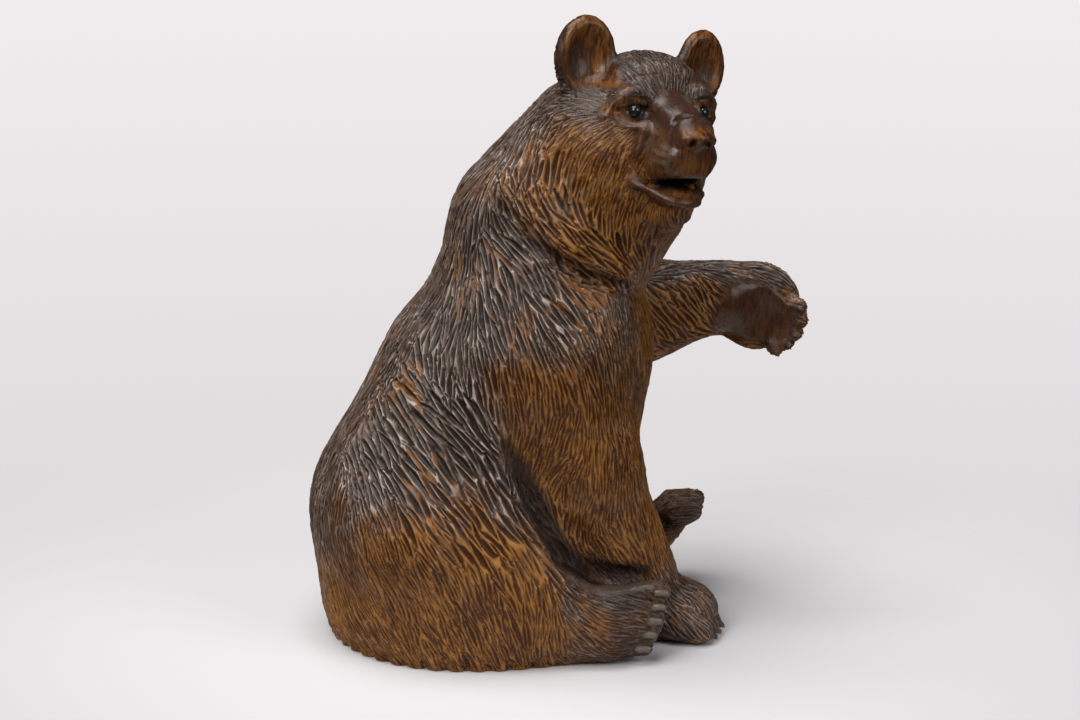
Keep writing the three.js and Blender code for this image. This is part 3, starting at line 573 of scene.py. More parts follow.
def fur_guides():
    """Every step along the fur lines: place, direction, width, length, depth and darkness."""
    mirrored = [(*style, [(x, -y, z, dark) for x, y, z, dark in points]) for *style, points in BOTH_SIDES]
    places, ways, styles = [], [], []
    for width, length, depth, points in BOTH_SIDES + NEAR_SIDE + FAR_SIDE + mirrored:
        points = np.array(points, float)
        for a, b in zip(points[:-1], points[1:]):
            run = b[:3] - a[:3]
            pieces = max(1, round(np.linalg.norm(run) / GUIDE_SPACING))
            for i in range(pieces):
                t = (i + 0.5) / pieces
                places.append(a[:3] + run * t)
                ways.append(run / np.linalg.norm(run))
                styles.append((width, length, depth, a[3] + (b[3] - a[3]) * t))
    return np.array(places), np.array(ways), np.array(styles)


GUIDE_PLACES, GUIDE_WAYS, GUIDE_STYLES = fur_guides()
HEAD_AXES = turned(**HEAD_TURN)
HEAD_EULER = Matrix(HEAD_AXES.tolist()).to_euler()


def in_head(p):
    return (p - HEAD_AT) @ HEAD_AXES


def headness(p):
    """1 on the head, 0 below the ruff."""
    q = in_head(p)
    return ramp(np.linalg.norm(q * (0.9, 1, 0.92), axis=1), 37, 28)


def fur_at(p):
    """Lie of the fur and its gouge width, length, depth and darkness at each point."""
    ways = np.zeros_like(p)
    styles = np.zeros((len(p), 4))
    for start in range(0, len(p), POINTS_AT_ONCE):
        part = slice(start, start + POINTS_AT_ONCE)
        off = p[part, None, :] - GUIDE_PLACES[None]
        weight = (np.einsum("ijk,ijk->ij", off, off) + GUIDE_SOFTNESS) ** GUIDE_FALL
        weight /= weight.sum(1)[:, None]
        ways[part] = weight @ GUIDE_WAYS
        styles[part] = weight @ GUIDE_STYLES
    q = in_head(p)
    away = q - (30, 0, -4)
    away /= np.linalg.norm(away, axis=1)[:, None]
    swept = away @ HEAD_AXES.T
    fall = 0.25 + 1.6 * ramp(q[:, 2], 8, -12) * ramp(np.abs(q[:, 1]), 4, 12)
    swept[:, 2] -= fall
    on_head = headness(p)[:, None]
    ways = ways * (1 - on_head) + swept * on_head
    dark_head = 0.15 + 0.75 * ramp(q[:, 2], -6, 10)
    head_style = np.column_stack([np.full(len(p), v) for v in HEAD_STYLE] + [dark_head])
    head_style[:, :3] *= 1 + 0.15 * ramp(q[:, 2], -8, -22)[:, None]
    ear = np.maximum(ear_spot(q, -1), ear_spot(q, 1))
    head_style[:, 2] *= 1 - 0.6 * ear
    head_style[:, 3] *= 1 - 0.9 * np.maximum(ear_cup(q, -1), ear_cup(q, 1))
    swept_ear = HEAD_AXES[:, 2]
    ways = ways * (1 - ear[:, None]) + swept_ear * ear[:, None]
    return ways, styles * (1 - on_head) + head_style * on_head


def spot(points, centre, radii, soft=0.35):
    """1 inside an egg, falling to 0 a little outside it."""
    near = np.linalg.norm((points - centre) / np.array(radii, float), axis=1)
    return ramp(near, 1 + soft, 1)


def band(points, a, b, radius, soft=0.6):
    """1 close to the line from a to b, falling to 0 a little further out."""
    a, b = np.array(a, float), np.array(b, float)
    t = np.clip((points - a) @ (b - a) / ((b - a) @ (b - a)), 0, 1)
    near = np.linalg.norm(points - a - t[:, None] * (b - a), axis=1) / radius
    return ramp(near, 1 + soft, 1)


def ear_spot(q, side):
    return spot(q, (1.0, 20.5 * side, 23), (8, 9.5, 11), 0.15)


def ear_cup(q, side):
    """1 inside the ear's cup and on its rim."""
    face = q[:, 0] - np.tan(np.radians(10)) * (np.abs(q[:, 1]) - 20.1)
    rim = spot(q * (0, 1, 1), (0, 20.1 * side - 0.4, 20.4 - 0.9 * side), (1, 10, 14.5), 0.1)
    return rim * ramp(face, -1.2, 0.6) * ramp(q[:, 2], 11, 14) * ramp(np.abs(q[:, 1]), 12, 14.5)


def palm(p):
    """1 in the hollow of the raised paw."""
    return spot(p, (75, 26, 92), (12, 5.5, 12))


def warmth(p):
    """1 where smooth wood has worn golden: ear cups, nose top, lips and tongue."""
    q = in_head(p)
    warm = [
        0.9 * spot(q, (35, 0, -1.0), (4, 6.5, 1.7), 0.35),
        0.6 * spot(q, (33, 0, -4.5), (3, 7.5, 2.0), 0.4),
        0.5 * spot(q, (25, 0, -21), (7, 8, 4), 0.5),
        0.9 * spot(q, (23, 0, -18.4), (8, 4.6, 1.6), 0.4),
        0.35 * palm(p),
    ]
    for side in (-1, 1):
        half = q * (1, side, 1)
        warm += [
            ear_cup(q, side),
            0.7 * spot(half, (21, 9.5, -12), (4, 3, 3.5), 0.8),
            0.7 * spot(half, (29, 5.5, -12), (6, 5, 3.0), 0.6),
            0.95 * band(half, (11.2, 18.4, 5.6), (15.4, 12.4, 10.8), 2.3, 0.7),
            0.6 * band(half, (15.4, 12.4, 11.4), (19.4, 8.0, 8.4), 1.8, 0.8),
            0.45 * spot(half, (16.5, 13.5, 1.2), (4, 5, 2.4), 0.5),
            0.4 * spot(half, (22, 9, -6), (6, 3, 6), 0.5),
        ]
    return np.maximum.reduce(warm)


def painted_shade_and_dark_foot(p):
    """How black the painted shade lies, most in the gouged creases and the mouth; the near foot is
    darkened less.
    """
    painted_shade_and_foot_darkening = ramp(CREASES.at(p), 3.2, 0.4) * (1 - 0.6 * ramp(p[:, 2], 98, 106))
    painted_shade_and_foot_darkening = np.maximum(painted_shade_and_foot_darkening, 0.40 * spot(p, (37, -38, 12), (13, 9, 11), 0.45))
    return np.maximum(painted_shade_and_foot_darkening, spot(in_head(p), (24, 0, -15.6), (9, 6.5, 1.8), 0.3))


def bareness(p):
    """1 where the wood is left smooth: muzzle, eyes, lips, nails and pads."""
    q = in_head(p)
    bare = [
        spot(q, (33, 0, -2), (8, 8, 8)),
        spot(q, (23, 0, 1), (11, 8.0, 6.5)),
        spot(q, (19, 0, 8), (5, 5.5, 4)),
        spot(q, (29, 0, -12), (8, 8.0, 5)),
        spot(q, (24, 0, -19.4), (8, 8.5, 3.0)),
        palm(p),
        0.75 * lip_of_foot(p),
        nails(p),
    ]
    for side in (-1, 1):
        half = q * (1, side, 1)
        bare += [
            spot(half, (16.5, 11.5, 5), (5.5, 6.0, 4.4), 0.25),
            band(half, (11.2, 19.0, 4.6), (14.4, 13.4, 10.6), 1.8),
            band(half, (15.6, 11.6, -15.4), (22.4, 8.2, -18.4), 1.6),
            band(half, (22.4, 8.2, -18.4), (28.0, 1.0, -20.8), 1.8),
            0.5 * band(half, (18.4, 8.6, 3), (18.4, 11.6, -5), 1.6),
            0.85 * spot(half, (26, 6.5, -8), (7, 4, 5.5), 0.5),
            ear_cup(q, side),
            0.7 * ear_spot(q, side) * ramp(q[:, 2], 13, 18),
        ]
    return np.maximum.reduce(bare)


def lip_of_foot(p):
    """1 along the smooth lip over the near foot, which also gets a painted grey sheen."""
    near = band(p, (14, -38, 28.5), (25, -37, 23), 2.6)
    return np.maximum(near, band(p, (25, -37, 23), (41, -35.5, 25.4), 2.6))


def painted_face_highlights(p):
    """1 where highlights are painted on the face: by the inner eye corners and along the folds of the
    muzzle.
    """
    q = in_head(p)
    folds = [np.array(fold) + (0, 0, 1) for fold in WHISKER_FOLDS]
    folds.append([(23.0, 9.8, -8.6), (28.0, 9.6, -9.8), (30.5, 8.4, -9.6)])
    found = []
    for half in (q * (1, -1, 1), q):
        for a, b, c in folds:
            found += [0.55 * band(half, a, b, 0.45, 1.0), 0.55 * band(half, b, c, 0.45, 1.0)]
        found += [
            0.35 * band(half, (19.6, 8.4, 5.5), (20.8, 9.0, -2.4), 0.9, 0.9),
            0.25 * band(half, (20.8, 9.0, -2.4), (18.8, 11.4, -7.5), 1.0, 0.9),
            0.3 * spot(half, (19.0, 5.4, 8.8), (3.0, 1.6, 1.4), 0.8),
        ]
    return np.maximum.reduce(found)


def nails(p):
    """1 on the near foot's nails and on the claws of the front paws."""
    found = [0.35 * spot(p, forepaw_tip(v) + (3.6, 0, 0), (2.6, 1.7, 2.2), 0.3) for v in FOREPAW_TOES]
    for i in range(TOES):
        nail = near_toe_tip(i / (TOES - 1)) + (-0.4, -3.8, 0.2)
        claw = raised_toe_point(i, raised_toe_reach(i) + 1.0, 28.6, 92.2)
        found += [spot(p, nail, (2.4, 1.7, 1.3), 0.3), 0.15 * spot(p, claw, (1.8, 1.8, 1.8), 0.3)]
    return np.maximum.reduce(found)


def thrown_strokes(points, quads, normals, rng):
    """Gouge strokes thrown at random over the surface: place, direction, outward and size."""
    area = np.linalg.norm(area_vectors(points, quads), axis=1)
    pick = rng.choice(len(quads), STROKES_TRIED, p=area / area.sum())
    at = points[quads[pick]].mean(1) + rng.normal(0, JITTER, (STROKES_TRIED, 3))
    up = normals[quads[pick, 0]]
    underside = (at[:, 2] < 1.0) & (up[:, 2] < -0.7)
    keep = ~underside & (bareness(at) < 0.95)
    at, up = at[keep], up[keep]
    way, style = fur_at(at)
    way -= up * np.einsum("ij,ij->i", way, up)[:, None]
    way /= np.maximum(np.linalg.norm(way, axis=1), 1e-6)[:, None]
    across = np.cross(up, way)
    stray = rng.normal(0, STRAY, len(at))[:, None]
    way = way * np.cos(stray) + across * np.sin(stray)
    size = np.exp(rng.normal(0, SIZE_SPREAD, len(at)))
    style = style[:, :3] * size[:, None] * WIDER
    style[:, 1] *= np.exp(rng.normal(0, LENGTH_SPREAD, len(at)))
    return at, way, up, style


def is_taken(stroke, others):
    """Whether one of the others, which look the same way, lies too close to this stroke."""
    x, y, z, wx, wy, wz, ux, uy, uz, width, length, _ = stroke
    for ox, oy, oz, ol, ow, vx, vy, vz in others:
        if vx * ux + vy * uy + vz * uz < 0:
            continue
        dx, dy, dz = x - ox, y - oy, z - oz
        along = dx * wx + dy * wy + dz * wz
        rest = dx * dx + dy * dy + dz * dz - along * along
        endwise = along / (END_GAP * (length + ol) / 2)
        if endwise ** 2 + rest / (SIDE_GAP * (width + ow) / 2) ** 2 < 1:
            return True
    return False


def chosen_strokes(points, quads, normals, rng):
    """The strokes thrown that find room beside those kept before them."""
    strokes = thrown_strokes(points, quads, normals, rng)
    cells = np.floor(strokes[0] / ROOM_CELL).astype(int).tolist()
    beside = [(i, j, k) for i in (-1, 0, 1) for j in (-1, 0, 1) for k in (-1, 0, 1)]
    room, kept = {}, []
    for index, stroke in enumerate(np.concatenate(strokes, 1).tolist()):
        i, j, k = cells[index]
        if not any(is_taken(stroke, room.get((i + a, j + b, k + c), ())) for a, b, c in beside):
            x, y, z, *_, ux, uy, uz, width, length, _ = stroke
            room.setdefault((i, j, k), []).append((x, y, z, length, width, ux, uy, uz))
            kept.append(index)
    return tuple(part[kept] for part in strokes)


class Cells:
    """Points sorted into cubes, so that those near a stroke are found at once."""

    def __init__(self, points, size):
        self.size = size
        self.low = points.min(0) - size
        self.counts = np.ceil((points.max(0) + size - self.low) / size).astype(int) + 1
        key = self.key(np.floor((points - self.low) / size).astype(int))
        self.order = np.argsort(key, kind="stable")
        self.many = np.bincount(key, minlength=int(np.prod(self.counts)))
        self.first = np.concatenate(([0], np.cumsum(self.many)[:-1]))

    def key(self, cell):
        return (cell[..., 0] * self.counts[1] + cell[..., 1]) * self.counts[2] + cell[..., 2]

    def near(self, low, high):
        """Pairs of box number and point number, for the cubes that each box touches."""
        a = np.clip(np.floor((low - self.low) / self.size).astype(int), 0, self.counts - 1)
        b = np.clip(np.floor((high - self.low) / self.size).astype(int), 0, self.counts - 1)
        span = b - a + 1
        total = span.prod(1)
        box = np.repeat(np.arange(len(low)), total)
        step = np.arange(len(box)) - np.repeat(np.cumsum(total) - total, total)
        plane = span[box, 1] * span[box, 2]
        cell = np.stack((step // plane, step % plane // span[box, 2], step % span[box, 2]), 1) + a[box]
        key = self.key(cell)
        full = self.many[key] > 0
        box, key = box[full], key[full]
        total = self.many[key]
        pair = np.repeat(np.arange(len(key)), total)
        step = np.arange(len(pair)) - np.repeat(np.cumsum(total) - total, total)
        return box[pair], self.order[self.first[key[pair]] + step]


def meetings(points, normals, strokes):
    """Point and stroke wherever the two are close, how far apart they are, and how far endwise."""
    at, way, up, style, bend = strokes
    cells = Cells(points, POINT_CELL)
    across = np.cross(up, way)
    half_l, half_w = style[:, 1] / 2, style[:, 0] / 2
    reach = REACH * (np.abs(way) * half_l[:, None] + np.abs(across) * half_w[:, None]) + 0.8
    met, away, owner, ends = [], [], [], []
    for start in range(0, len(at), STROKES_AT_ONCE):
        part = slice(start, start + STROKES_AT_ONCE)
        stroke, point = cells.near(at[part] - reach[part], at[part] + reach[part])
        stroke += start
        off = points[point] - at[stroke]
        u = np.einsum("ij,ij->i", off, way[stroke])
        v = np.einsum("ij,ij->i", off, across[stroke]) - bend[stroke] * u * u
        u, v = u / half_l[stroke], v / half_w[stroke]
        w = np.einsum("ij,ij->i", off, up[stroke])
        facing = np.einsum("ij,ij->i", normals[point], up[stroke])
        near = u * u + v * v
        hit = (near < REACH * REACH) & (np.abs(w) < 3) & (facing > 0.2)
        met.append(point[hit])
        away.append(np.sqrt(near[hit]))
        owner.append(stroke[hit])
        ends.append((u * u / np.maximum(near, 1e-9))[hit])
    return tuple(np.concatenate(part) for part in (met, away, owner, ends))


def at_end(endwise):
    """1 at a stroke's ends, where its hollow runs out and leaves no ridge."""
    return ramp(endwise, 0.55, 0.95)


def gouged(points, normals, strokes):
    """Depth of the gouging at each point: hollows along the strokes, with ridges left between them."""
    met, away, owner, ends = meetings(points, normals, strokes)
    first = np.full(len(points), REACH)
    np.minimum.at(first, met, away)
    second = np.full(len(points), REACH)
    other = away > first[met] + 1e-9
    np.minimum.at(second, met[other], away[other])
    deep, end = np.zeros(len(points)), np.zeros(len(points))
    best = ~other
    deep[met[best]] = strokes[3][owner[best], 2]
    end[met[best]] = ends[best]
    apart = second - first + END_OPEN * at_end(end)
    scoop = np.clip(1 - 0.55 * first * first, 0, 1)
    return -deep * scoop * (1 - np.exp(-apart / RIDGE_WIDTH))


def tints(count, pairs):
    """A tint number for each stroke, so that strokes side by side have different ones."""
    beside = [set() for _ in range(count)]
    for a, b in pairs.tolist():
        beside[a].add(b)
        beside[b].add(a)
    tint = [-1] * count
    for i in range(count):
        used = [0] * TINTS
        for j in beside[i]:
            if tint[j] >= 0:
                used[tint[j]] += 1
        tint[i] = used.index(min(used))
    return np.array(tint)


def weave(points, normals, strokes):
    """For each tint how far inside its strokes a point lies, 0 on the ridges; and how far endwise."""
    met, away, owner, ends = meetings(points, normals, strokes)
    order = np.lexsort((away, met))
    met, away, owner, ends = met[order], away[order], owner[order], ends[order]
    lead = np.flatnonzero(np.concatenate(([True], met[1:] != met[:-1])))
    pairs = []
    for skip in (1, 2):
        row = lead[lead + skip < len(met)]
        row = row[met[row + skip] == met[row]]
        pairs.append(np.column_stack((owner[row], owner[row + skip])))
    pairs = np.unique(np.concatenate(pairs), axis=0)
    tint = tints(len(strokes[0]), pairs)[owner]
    near = np.full((TINTS, len(points)), REACH)
    for k in range(TINTS):
        np.minimum.at(near[k], met[tint == k], away[tint == k])
    inside = np.empty_like(near)
    for k in range(TINTS):
        inside[k] = np.delete(near, k, 0).min(0) - near[k]
    end = np.zeros(len(points))
    end[met[lead]] = ends[lead]
    return inside.T, at_end(end)


def carved():
    """The whole carving with its fur, as points in steps and quads."""
    rng = np.random.default_rng(SEED)
    points, quads = traced()
    coarse_points, coarse_quads = points, quads
    points, quads = halved(points, quads)
    normals = point_normals(points, quads)
    if np.einsum("ij,ij->", normals, points - points.mean(0)) < 0:
        quads, normals = quads[:, ::-1], -normals
        coarse_quads = coarse_quads[:, ::-1]
    points = points - normals * np.clip(wood_at(points), -0.4, 0.4)[:, None]
    normals = point_normals(points, quads)
    coarse_normals = normals[: len(coarse_points)]
    strokes = chosen_strokes(coarse_points, coarse_quads, coarse_normals, rng)
    strokes += (rng.normal(0, BEND_SPREAD, len(strokes[0])),)
    depth = gouged(points, normals, strokes) * (1 - bareness(points))
    base = (points[:, 2] < 0.4) & (normals[:, 2] < -0.6)
    depth[base] = 0
    points = points + normals * depth[:, None]
    points[:, 2] = np.maximum(points[:, 2], 0)
    return points, quads, strokes


def share_of_triangles(points, normals):
    """Which points are on the head (0), on the side that shows (1) and on the hidden side (2)."""
    hidden = (normals[:, 1] > 0.1) & (points[:, 1] > -2) & (points[:, 0] < 60)
    return np.where(headness(points) > 0.3, 0, np.where(hidden, 2, 1))


def thinned(points, quads):
    """The mesh with fewer triangles, most of them kept where the carving is finest."""
    mesh = bpy.data.meshes.new("carving")
    mesh.vertices.add(len(points))
    mesh.vertices.foreach_set("co", (points * STEP).astype(np.float32).ravel())
    mesh.loops.add(quads.size)
    mesh.loops.foreach_set("vertex_index", quads.astype(np.int32).ravel())
    mesh.polygons.add(len(quads))
    mesh.polygons.foreach_set("loop_start", np.arange(0, quads.size, 4, dtype=np.int32))
    mesh.update(calc_edges=True)
    dense = new_object("dense_carving", mesh)
    zone = share_of_triangles(points, point_normals(points, quads))
    now = 2 * np.bincount(zone[quads[:, 0]], minlength=3)
    for i, share in enumerate(ZONE_SHARES):
        group = dense.vertex_groups.new(name="zone_%d" % i)
        group.add(np.flatnonzero(zone == i).tolist(), 1.0, "REPLACE")
        fewer = dense.modifiers.new("fewer_%d" % i, "DECIMATE")
        fewer.vertex_group = group.name
        fewer.vertex_group_factor = 0
        before = now.sum()
        now[i] = TRIANGLES * share
        fewer.ratio = now.sum() / before
        fewer.use_collapse_triangulate = True
    graph = bpy.context.evaluated_depsgraph_get()
    thin = bpy.data.meshes.new_from_object(dense.evaluated_get(graph))
    bpy.data.objects.remove(dense)
    bpy.data.meshes.remove(mesh)
    return thin


def neighbour_mean(values, edges, rounds):
    """Each point's value averaged with its neighbours', a few times over."""
    many = np.bincount(edges.ravel(), minlength=len(values)) + 1
    for _ in range(rounds):
        total = values.copy()
        total += np.bincount(edges[:, 0], values[edges[:, 1]], len(values))
        total += np.bincount(edges[:, 1], values[edges[:, 0]], len(values))
        values = total / many
    return values


def strand_places(points, at, way, up, rng):
    """Where each point lies along, across and above the nearest of a few strokes, for fine hairs."""
    some = np.arange(0, len(at), STROKES_PER_STRAND_PATCH)
    tree = kdtree.KDTree(len(some))
    for i, place in enumerate(at[some].tolist()):
        tree.insert(place, i)
    tree.balance()
    nearest = some[[tree.find(place)[1] for place in points.tolist()]]
    off = points - at[nearest]
    across = np.cross(up, way)
    frames = np.stack((way[nearest], across[nearest], up[nearest]), 1)
    shift = rng.uniform(0, 40, (len(at), 3))[nearest]
    return np.einsum("ijk,ik->ij", frames, off) * STRAND_SCALE + shift


def read(items, name, width, kind=np.float32):
    """One property of a mesh's points or edges, as rows of numbers."""
    values = np.empty(len(items) * width, kind)
    items.foreach_get(name, values)
    return values.reshape(-1, width)


def store(mesh, name, values):
    """Keeps on each point of the mesh a number, or a row of three."""
    kind, key = ("FLOAT", "value") if values.ndim == 1 else ("FLOAT_VECTOR", "vector")
    layer = mesh.attributes.new(name, kind, "POINT")
    layer.data.foreach_set(key, np.ascontiguousarray(values, dtype=np.float32).ravel())


def dressed(mesh, strokes):
    """Stores on the mesh all that the colour follows, such as crest, darkness, bareness and strands, and
    where shade and highlights are painted.
    """
    points = read(mesh.vertices, "co", 3).astype(float) / STEP
    normals = read(mesh.vertices, "normal", 3).astype(float)
    depth = -wood_at(points)
    crest = neighbour_mean(depth, read(mesh.edges, "vertices", 2, np.int32), 3) - depth
    _, style = fur_at(points)
    inside, end = weave(points, normals, strokes)
    store(mesh, "strand", strand_places(points, *strokes[:3], np.random.default_rng(SEED + 1)))
    store(mesh, "weave_a", inside[:, :3])
    store(mesh, "weave_b", inside[:, 3:])
    # Crest: how far a point stands above its neighbours; the colour uses it for painted shade in the
    # hollows of the fur.
    store(mesh, "crest", np.clip(0.5 + crest * 2.2, 0, 1))
    store(mesh, "dark", np.clip(style[:, 3], 0, 1))
    store(mesh, "bare", bareness(points))
    store(mesh, "warm", warmth(points))
    # Painted shade in the creases and the mouth, and a darker near foot.
    store(mesh, "painted_shade_and_foot_darkening", painted_shade_and_dark_foot(points))
    # Painted highlight and sheen: the lip over the near foot, the nails and claws, and the face.
    store(mesh, "painted_highlight", np.maximum.reduce((0.3 * lip_of_foot(points), nails(points), painted_face_highlights(points))))
    store(mesh, "open", end)
    store(mesh, "bold", ramp(style[:, 0], 1.3, 2.4))


def body_piece():
    points, quads, strokes = carved()
    mesh = thinned(points, quads)
    mesh.name = "carved_bear"
    mesh.polygons.foreach_set("use_smooth", np.ones(len(mesh.polygons), bool))
    dressed(mesh, strokes)
    piece = new_object("carved_bear", mesh)
    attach(piece, "root")
    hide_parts("bear_body")
    return piece


def eye_piece(name, node):
    """A glass bead with a flat back where it was glued into its socket."""
    low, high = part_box(node)
    centre = (low + high) / 2
    radius = (high.x - low.x) / 2
    looks = Vector(HEAD_AXES[:, 0].tolist())
    made = bmesh.new()
    bmesh.ops.create_uvsphere(made, u_segments=48, v_segments=24, radius=radius)
    for v in made.verts:
        v.co.z = max(v.co.z, -0.82 * radius)
    turn = looks.to_track_quat("Z", "Y").to_matrix().to_4x4()
    bmesh.ops.transform(made, matrix=turn, verts=made.verts)
    bmesh.ops.translate(made, vec=centre, verts=made.verts)
    mesh = bpy.data.meshes.new(name)
    made.to_mesh(mesh)
    made.free()
    mesh.polygons.foreach_set("use_smooth", np.ones(len(mesh.polygons), bool))
    piece = new_object(name, mesh)
    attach(piece, "root")
    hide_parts(node)
    return piece


# Materials.

class Nodes:
    """Short calls for building the node tree of a material or of the world."""

    def __init__(self, owner):
        owner.use_nodes = True
        self.tree = owner.node_tree
        self.coordinates = self.add("ShaderNodeTexCoord").outputs
        self.where = self.coordinates["Object"]

    def add(self, kind, values=(), **settings):
        node = self.tree.nodes.new(kind)
        for key, value in settings.items():
            setattr(node, key, value)
        for key, value in dict(values).items():
            self.feed(node.inputs[key], value)
        return node

    def feed(self, socket, value):
        if isinstance(value, bpy.types.NodeSocket):
            self.tree.links.new(value, socket)
        else:
            socket.default_value = value

    def shade(self, **values):
        """Feeds the shader, whose sockets are named with _ for a space."""
        for name, value in values.items():
            self.feed(self.tree.nodes["Principled BSDF"].inputs[name.replace("_", " ")], value)

    def layer(self, name, output="Fac"):
        return self.add("ShaderNodeAttribute", attribute_name=name).outputs[output]

    def parts(self, name):
        return list(self.add("ShaderNodeSeparateXYZ", {"Vector": self.layer(name, "Vector")}).outputs)

    def noise(self, where, scale, detail=4, rough=0.55):
        values = {"Vector": where, "Scale": scale, "Detail": detail, "Roughness": rough}
        return self.add("ShaderNodeTexNoise", values).outputs["Fac"]

    def unevenness(self, where, scale, detail=4, rough=0.55):
        """Noise about zero."""
        return self.math("SUBTRACT", self.noise(where, scale, detail, rough), 0.5)

    def span(self, value, low, high, to_low=0.0, to_high=1.0):
        node = self.add("ShaderNodeMapRange", interpolation_type="SMOOTHSTEP")
        for key, v in zip(("Value", "From Min", "From Max", "To Min", "To Max"),
                          (value, low, high, to_low, to_high)):
            self.feed(node.inputs[key], v)
        return node.outputs["Result"]

    def math(self, operation, a, b=0.0):
        node = self.add("ShaderNodeMath", operation=operation)
        self.feed(node.inputs[0], a)
        self.feed(node.inputs[1], b)
        return node.outputs[0]

    def sum(self, a, b):
        return self.math("ADD", a, b)

    def times(self, a, b):
        return self.math("MULTIPLY", a, b)

    def mix(self, amount, a, b):
        node = self.add("ShaderNodeMix", data_type="RGBA")
        self.feed(node.inputs["Factor"], amount)
        self.feed(node.inputs["A"], a)
        self.feed(node.inputs["B"], b)
        return node.outputs["Result"]


FLOOR_FADE = (0.07, 0.26)


def rgb(r, g, b):
    return (r, g, b, 1.0)


# Stain colours, and colours of painted light. The pairs run from dark to pale, and in the fur the dark
# ends also give painted shade down in the strokes. The ridge pair runs from the gold zones to the black
# ones.
GOLD = rgb(0.051, 0.0135, 0.001), rgb(0.330, 0.138, 0.025)
BLACK = rgb(0.017, 0.010, 0.007), rgb(0.120, 0.076, 0.054)
SMOOTH = rgb(0.024, 0.010, 0.006), rgb(0.055, 0.023, 0.014)
GOLDEN = rgb(0.045, 0.015, 0.005), rgb(0.17, 0.066, 0.017)
# Pale greys of painted highlight and sheen.
PAINTED_HIGHLIGHT_GREYS = rgb(0.13, 0.105, 0.08), rgb(0.24, 0.19, 0.155)
# Pale ridge colours: partly stain worn off the ridges, partly painted highlight.
RIDGE_WEAR_AND_HIGHLIGHT = rgb(0.46, 0.24, 0.085), rgb(0.48, 0.39, 0.335)
ORANGE_RIM = rgb(0.37, 0.135, 0.020)
PALE_STRANDS = rgb(0.13, 0.080, 0.055)
# Black for the painted shade in the creases and the mouth, and for darkening the near foot.
SHADE_AND_FOOT_BLACK = rgb(0.012, 0.006, 0.004)


def lines_of_strokes(n, bare, bold):
    """The ridges between strokes, the banks that rise to them, and an edge inside some strokes."""
    inside = n.parts("weave_a") + n.parts("weave_b")
    apart = n.math("ABSOLUTE", inside[0])
    for other in inside[1:]:
        apart = n.math("MINIMUM", apart, n.math("ABSOLUTE", other))
    apart = n.sum(apart, n.sum(n.times(n.layer("open"), 0.5), n.times(bare, 1.5)))
    ridge = n.span(apart, 0.0, n.span(bold, 0.0, 1.0, 0.30, 0.20), 1.0, 0.0)
    bank = n.span(apart, 0.0, 0.9, 1.0, 0.0)
    edges = [n.times(n.span(inside[i], 0.08, 0.3), n.span(inside[i], 0.4, 1.0, 1.0, 0.0)) for i in (1, 3)]
    return ridge, bank, n.math("MAXIMUM", *edges)


def fur_colour(n, lines, bold, flecks, strand):
    """Gold-brown or black stain, with painted shade down in the strokes, orange edges, and pale ridges
    that are partly worn wood and partly painted highlight.
    """
    ridge, bank, edge = lines
    mottle = n.times(n.unevenness(n.where, 55, 3), 1.3)
    zone = n.span(n.sum(n.layer("dark"), n.sum(mottle, n.times(strand, 1.2))), 0.2, 0.8)
    # Painted shade: the stain goes paler up the banks and crests of the strokes and darker down in them,
    # besides random flecks and blotches.
    bank_seen = n.times(bank, n.span(bold, 0.0, 0.8, 0.25, 0.38))
    top = n.sum(bank_seen, n.times(n.layer("crest"), n.span(bold, 0.0, 0.8, 0.25, 0.5)))
    uneven = n.sum(n.times(n.math("SUBTRACT", flecks, 0.5), 0.5), n.times(strand, 1.1))
    blotches = n.times(n.unevenness(n.where, 110, 3), 0.8)
    top = n.span(n.sum(n.sum(top, uneven), blotches), n.span(bold, 0.0, 0.8, -0.08, 0.05), 0.85)
    fur = n.mix(zone, n.mix(top, *GOLD), n.mix(top, *BLACK))
    lit = n.times(n.span(n.noise(n.where, 45, 2), 0.46, 0.62), n.span(zone, 0.6, 1.0, 1.0, 0.6))
    rim = n.times(n.times(edge, lit), n.span(bold, 0.0, 0.5, 0.25, 0.8))
    fur = n.mix(rim, fur, ORANGE_RIM)
    # Pale ridges between strokes: partly worn wood, partly painted highlight.
    seen = n.times(ridge, n.span(n.noise(n.where, 130, 2), 0.36, 0.58, 0.25, 1.0))
    seen = n.times(seen, n.span(bold, 0.0, 0.9, 0.30, 1.0))
    seen = n.times(seen, n.span(zone, 0.0, 0.7, 0.35, 1.0))
    return n.mix(seen, fur, n.mix(zone, *RIDGE_WEAR_AND_HIGHLIGHT))


def smooth_colour(n, grain, strand):
    """Dark bare wood with pale strands, golden where it is worn, and pale grey where highlights and sheen
    are painted.
    """
    smooth = n.mix(grain, *SMOOTH)
    smooth = n.mix(n.span(strand, 0.02, 0.22, 0.0, 0.45), smooth, PALE_STRANDS)
    along_head = n.add("ShaderNodeMapping", {"Vector": n.where}, vector_type="TEXTURE")
    along_head.inputs["Rotation"].default_value = HEAD_EULER
    along_head.inputs["Scale"].default_value = (0.0016, 0.0010, 0.014)
    streaks = n.noise(along_head.outputs[0], 1, 4, 0.6)
    smooth = n.mix(n.layer("warm"), smooth, n.mix(n.span(streaks, 0.38, 0.62), *GOLDEN))
    # Painted highlight: the bare wood is mixed to pale grey where highlights and sheen are painted.
    return n.mix(n.layer("painted_highlight"), smooth, n.mix(grain, *PAINTED_HIGHLIGHT_GREYS))


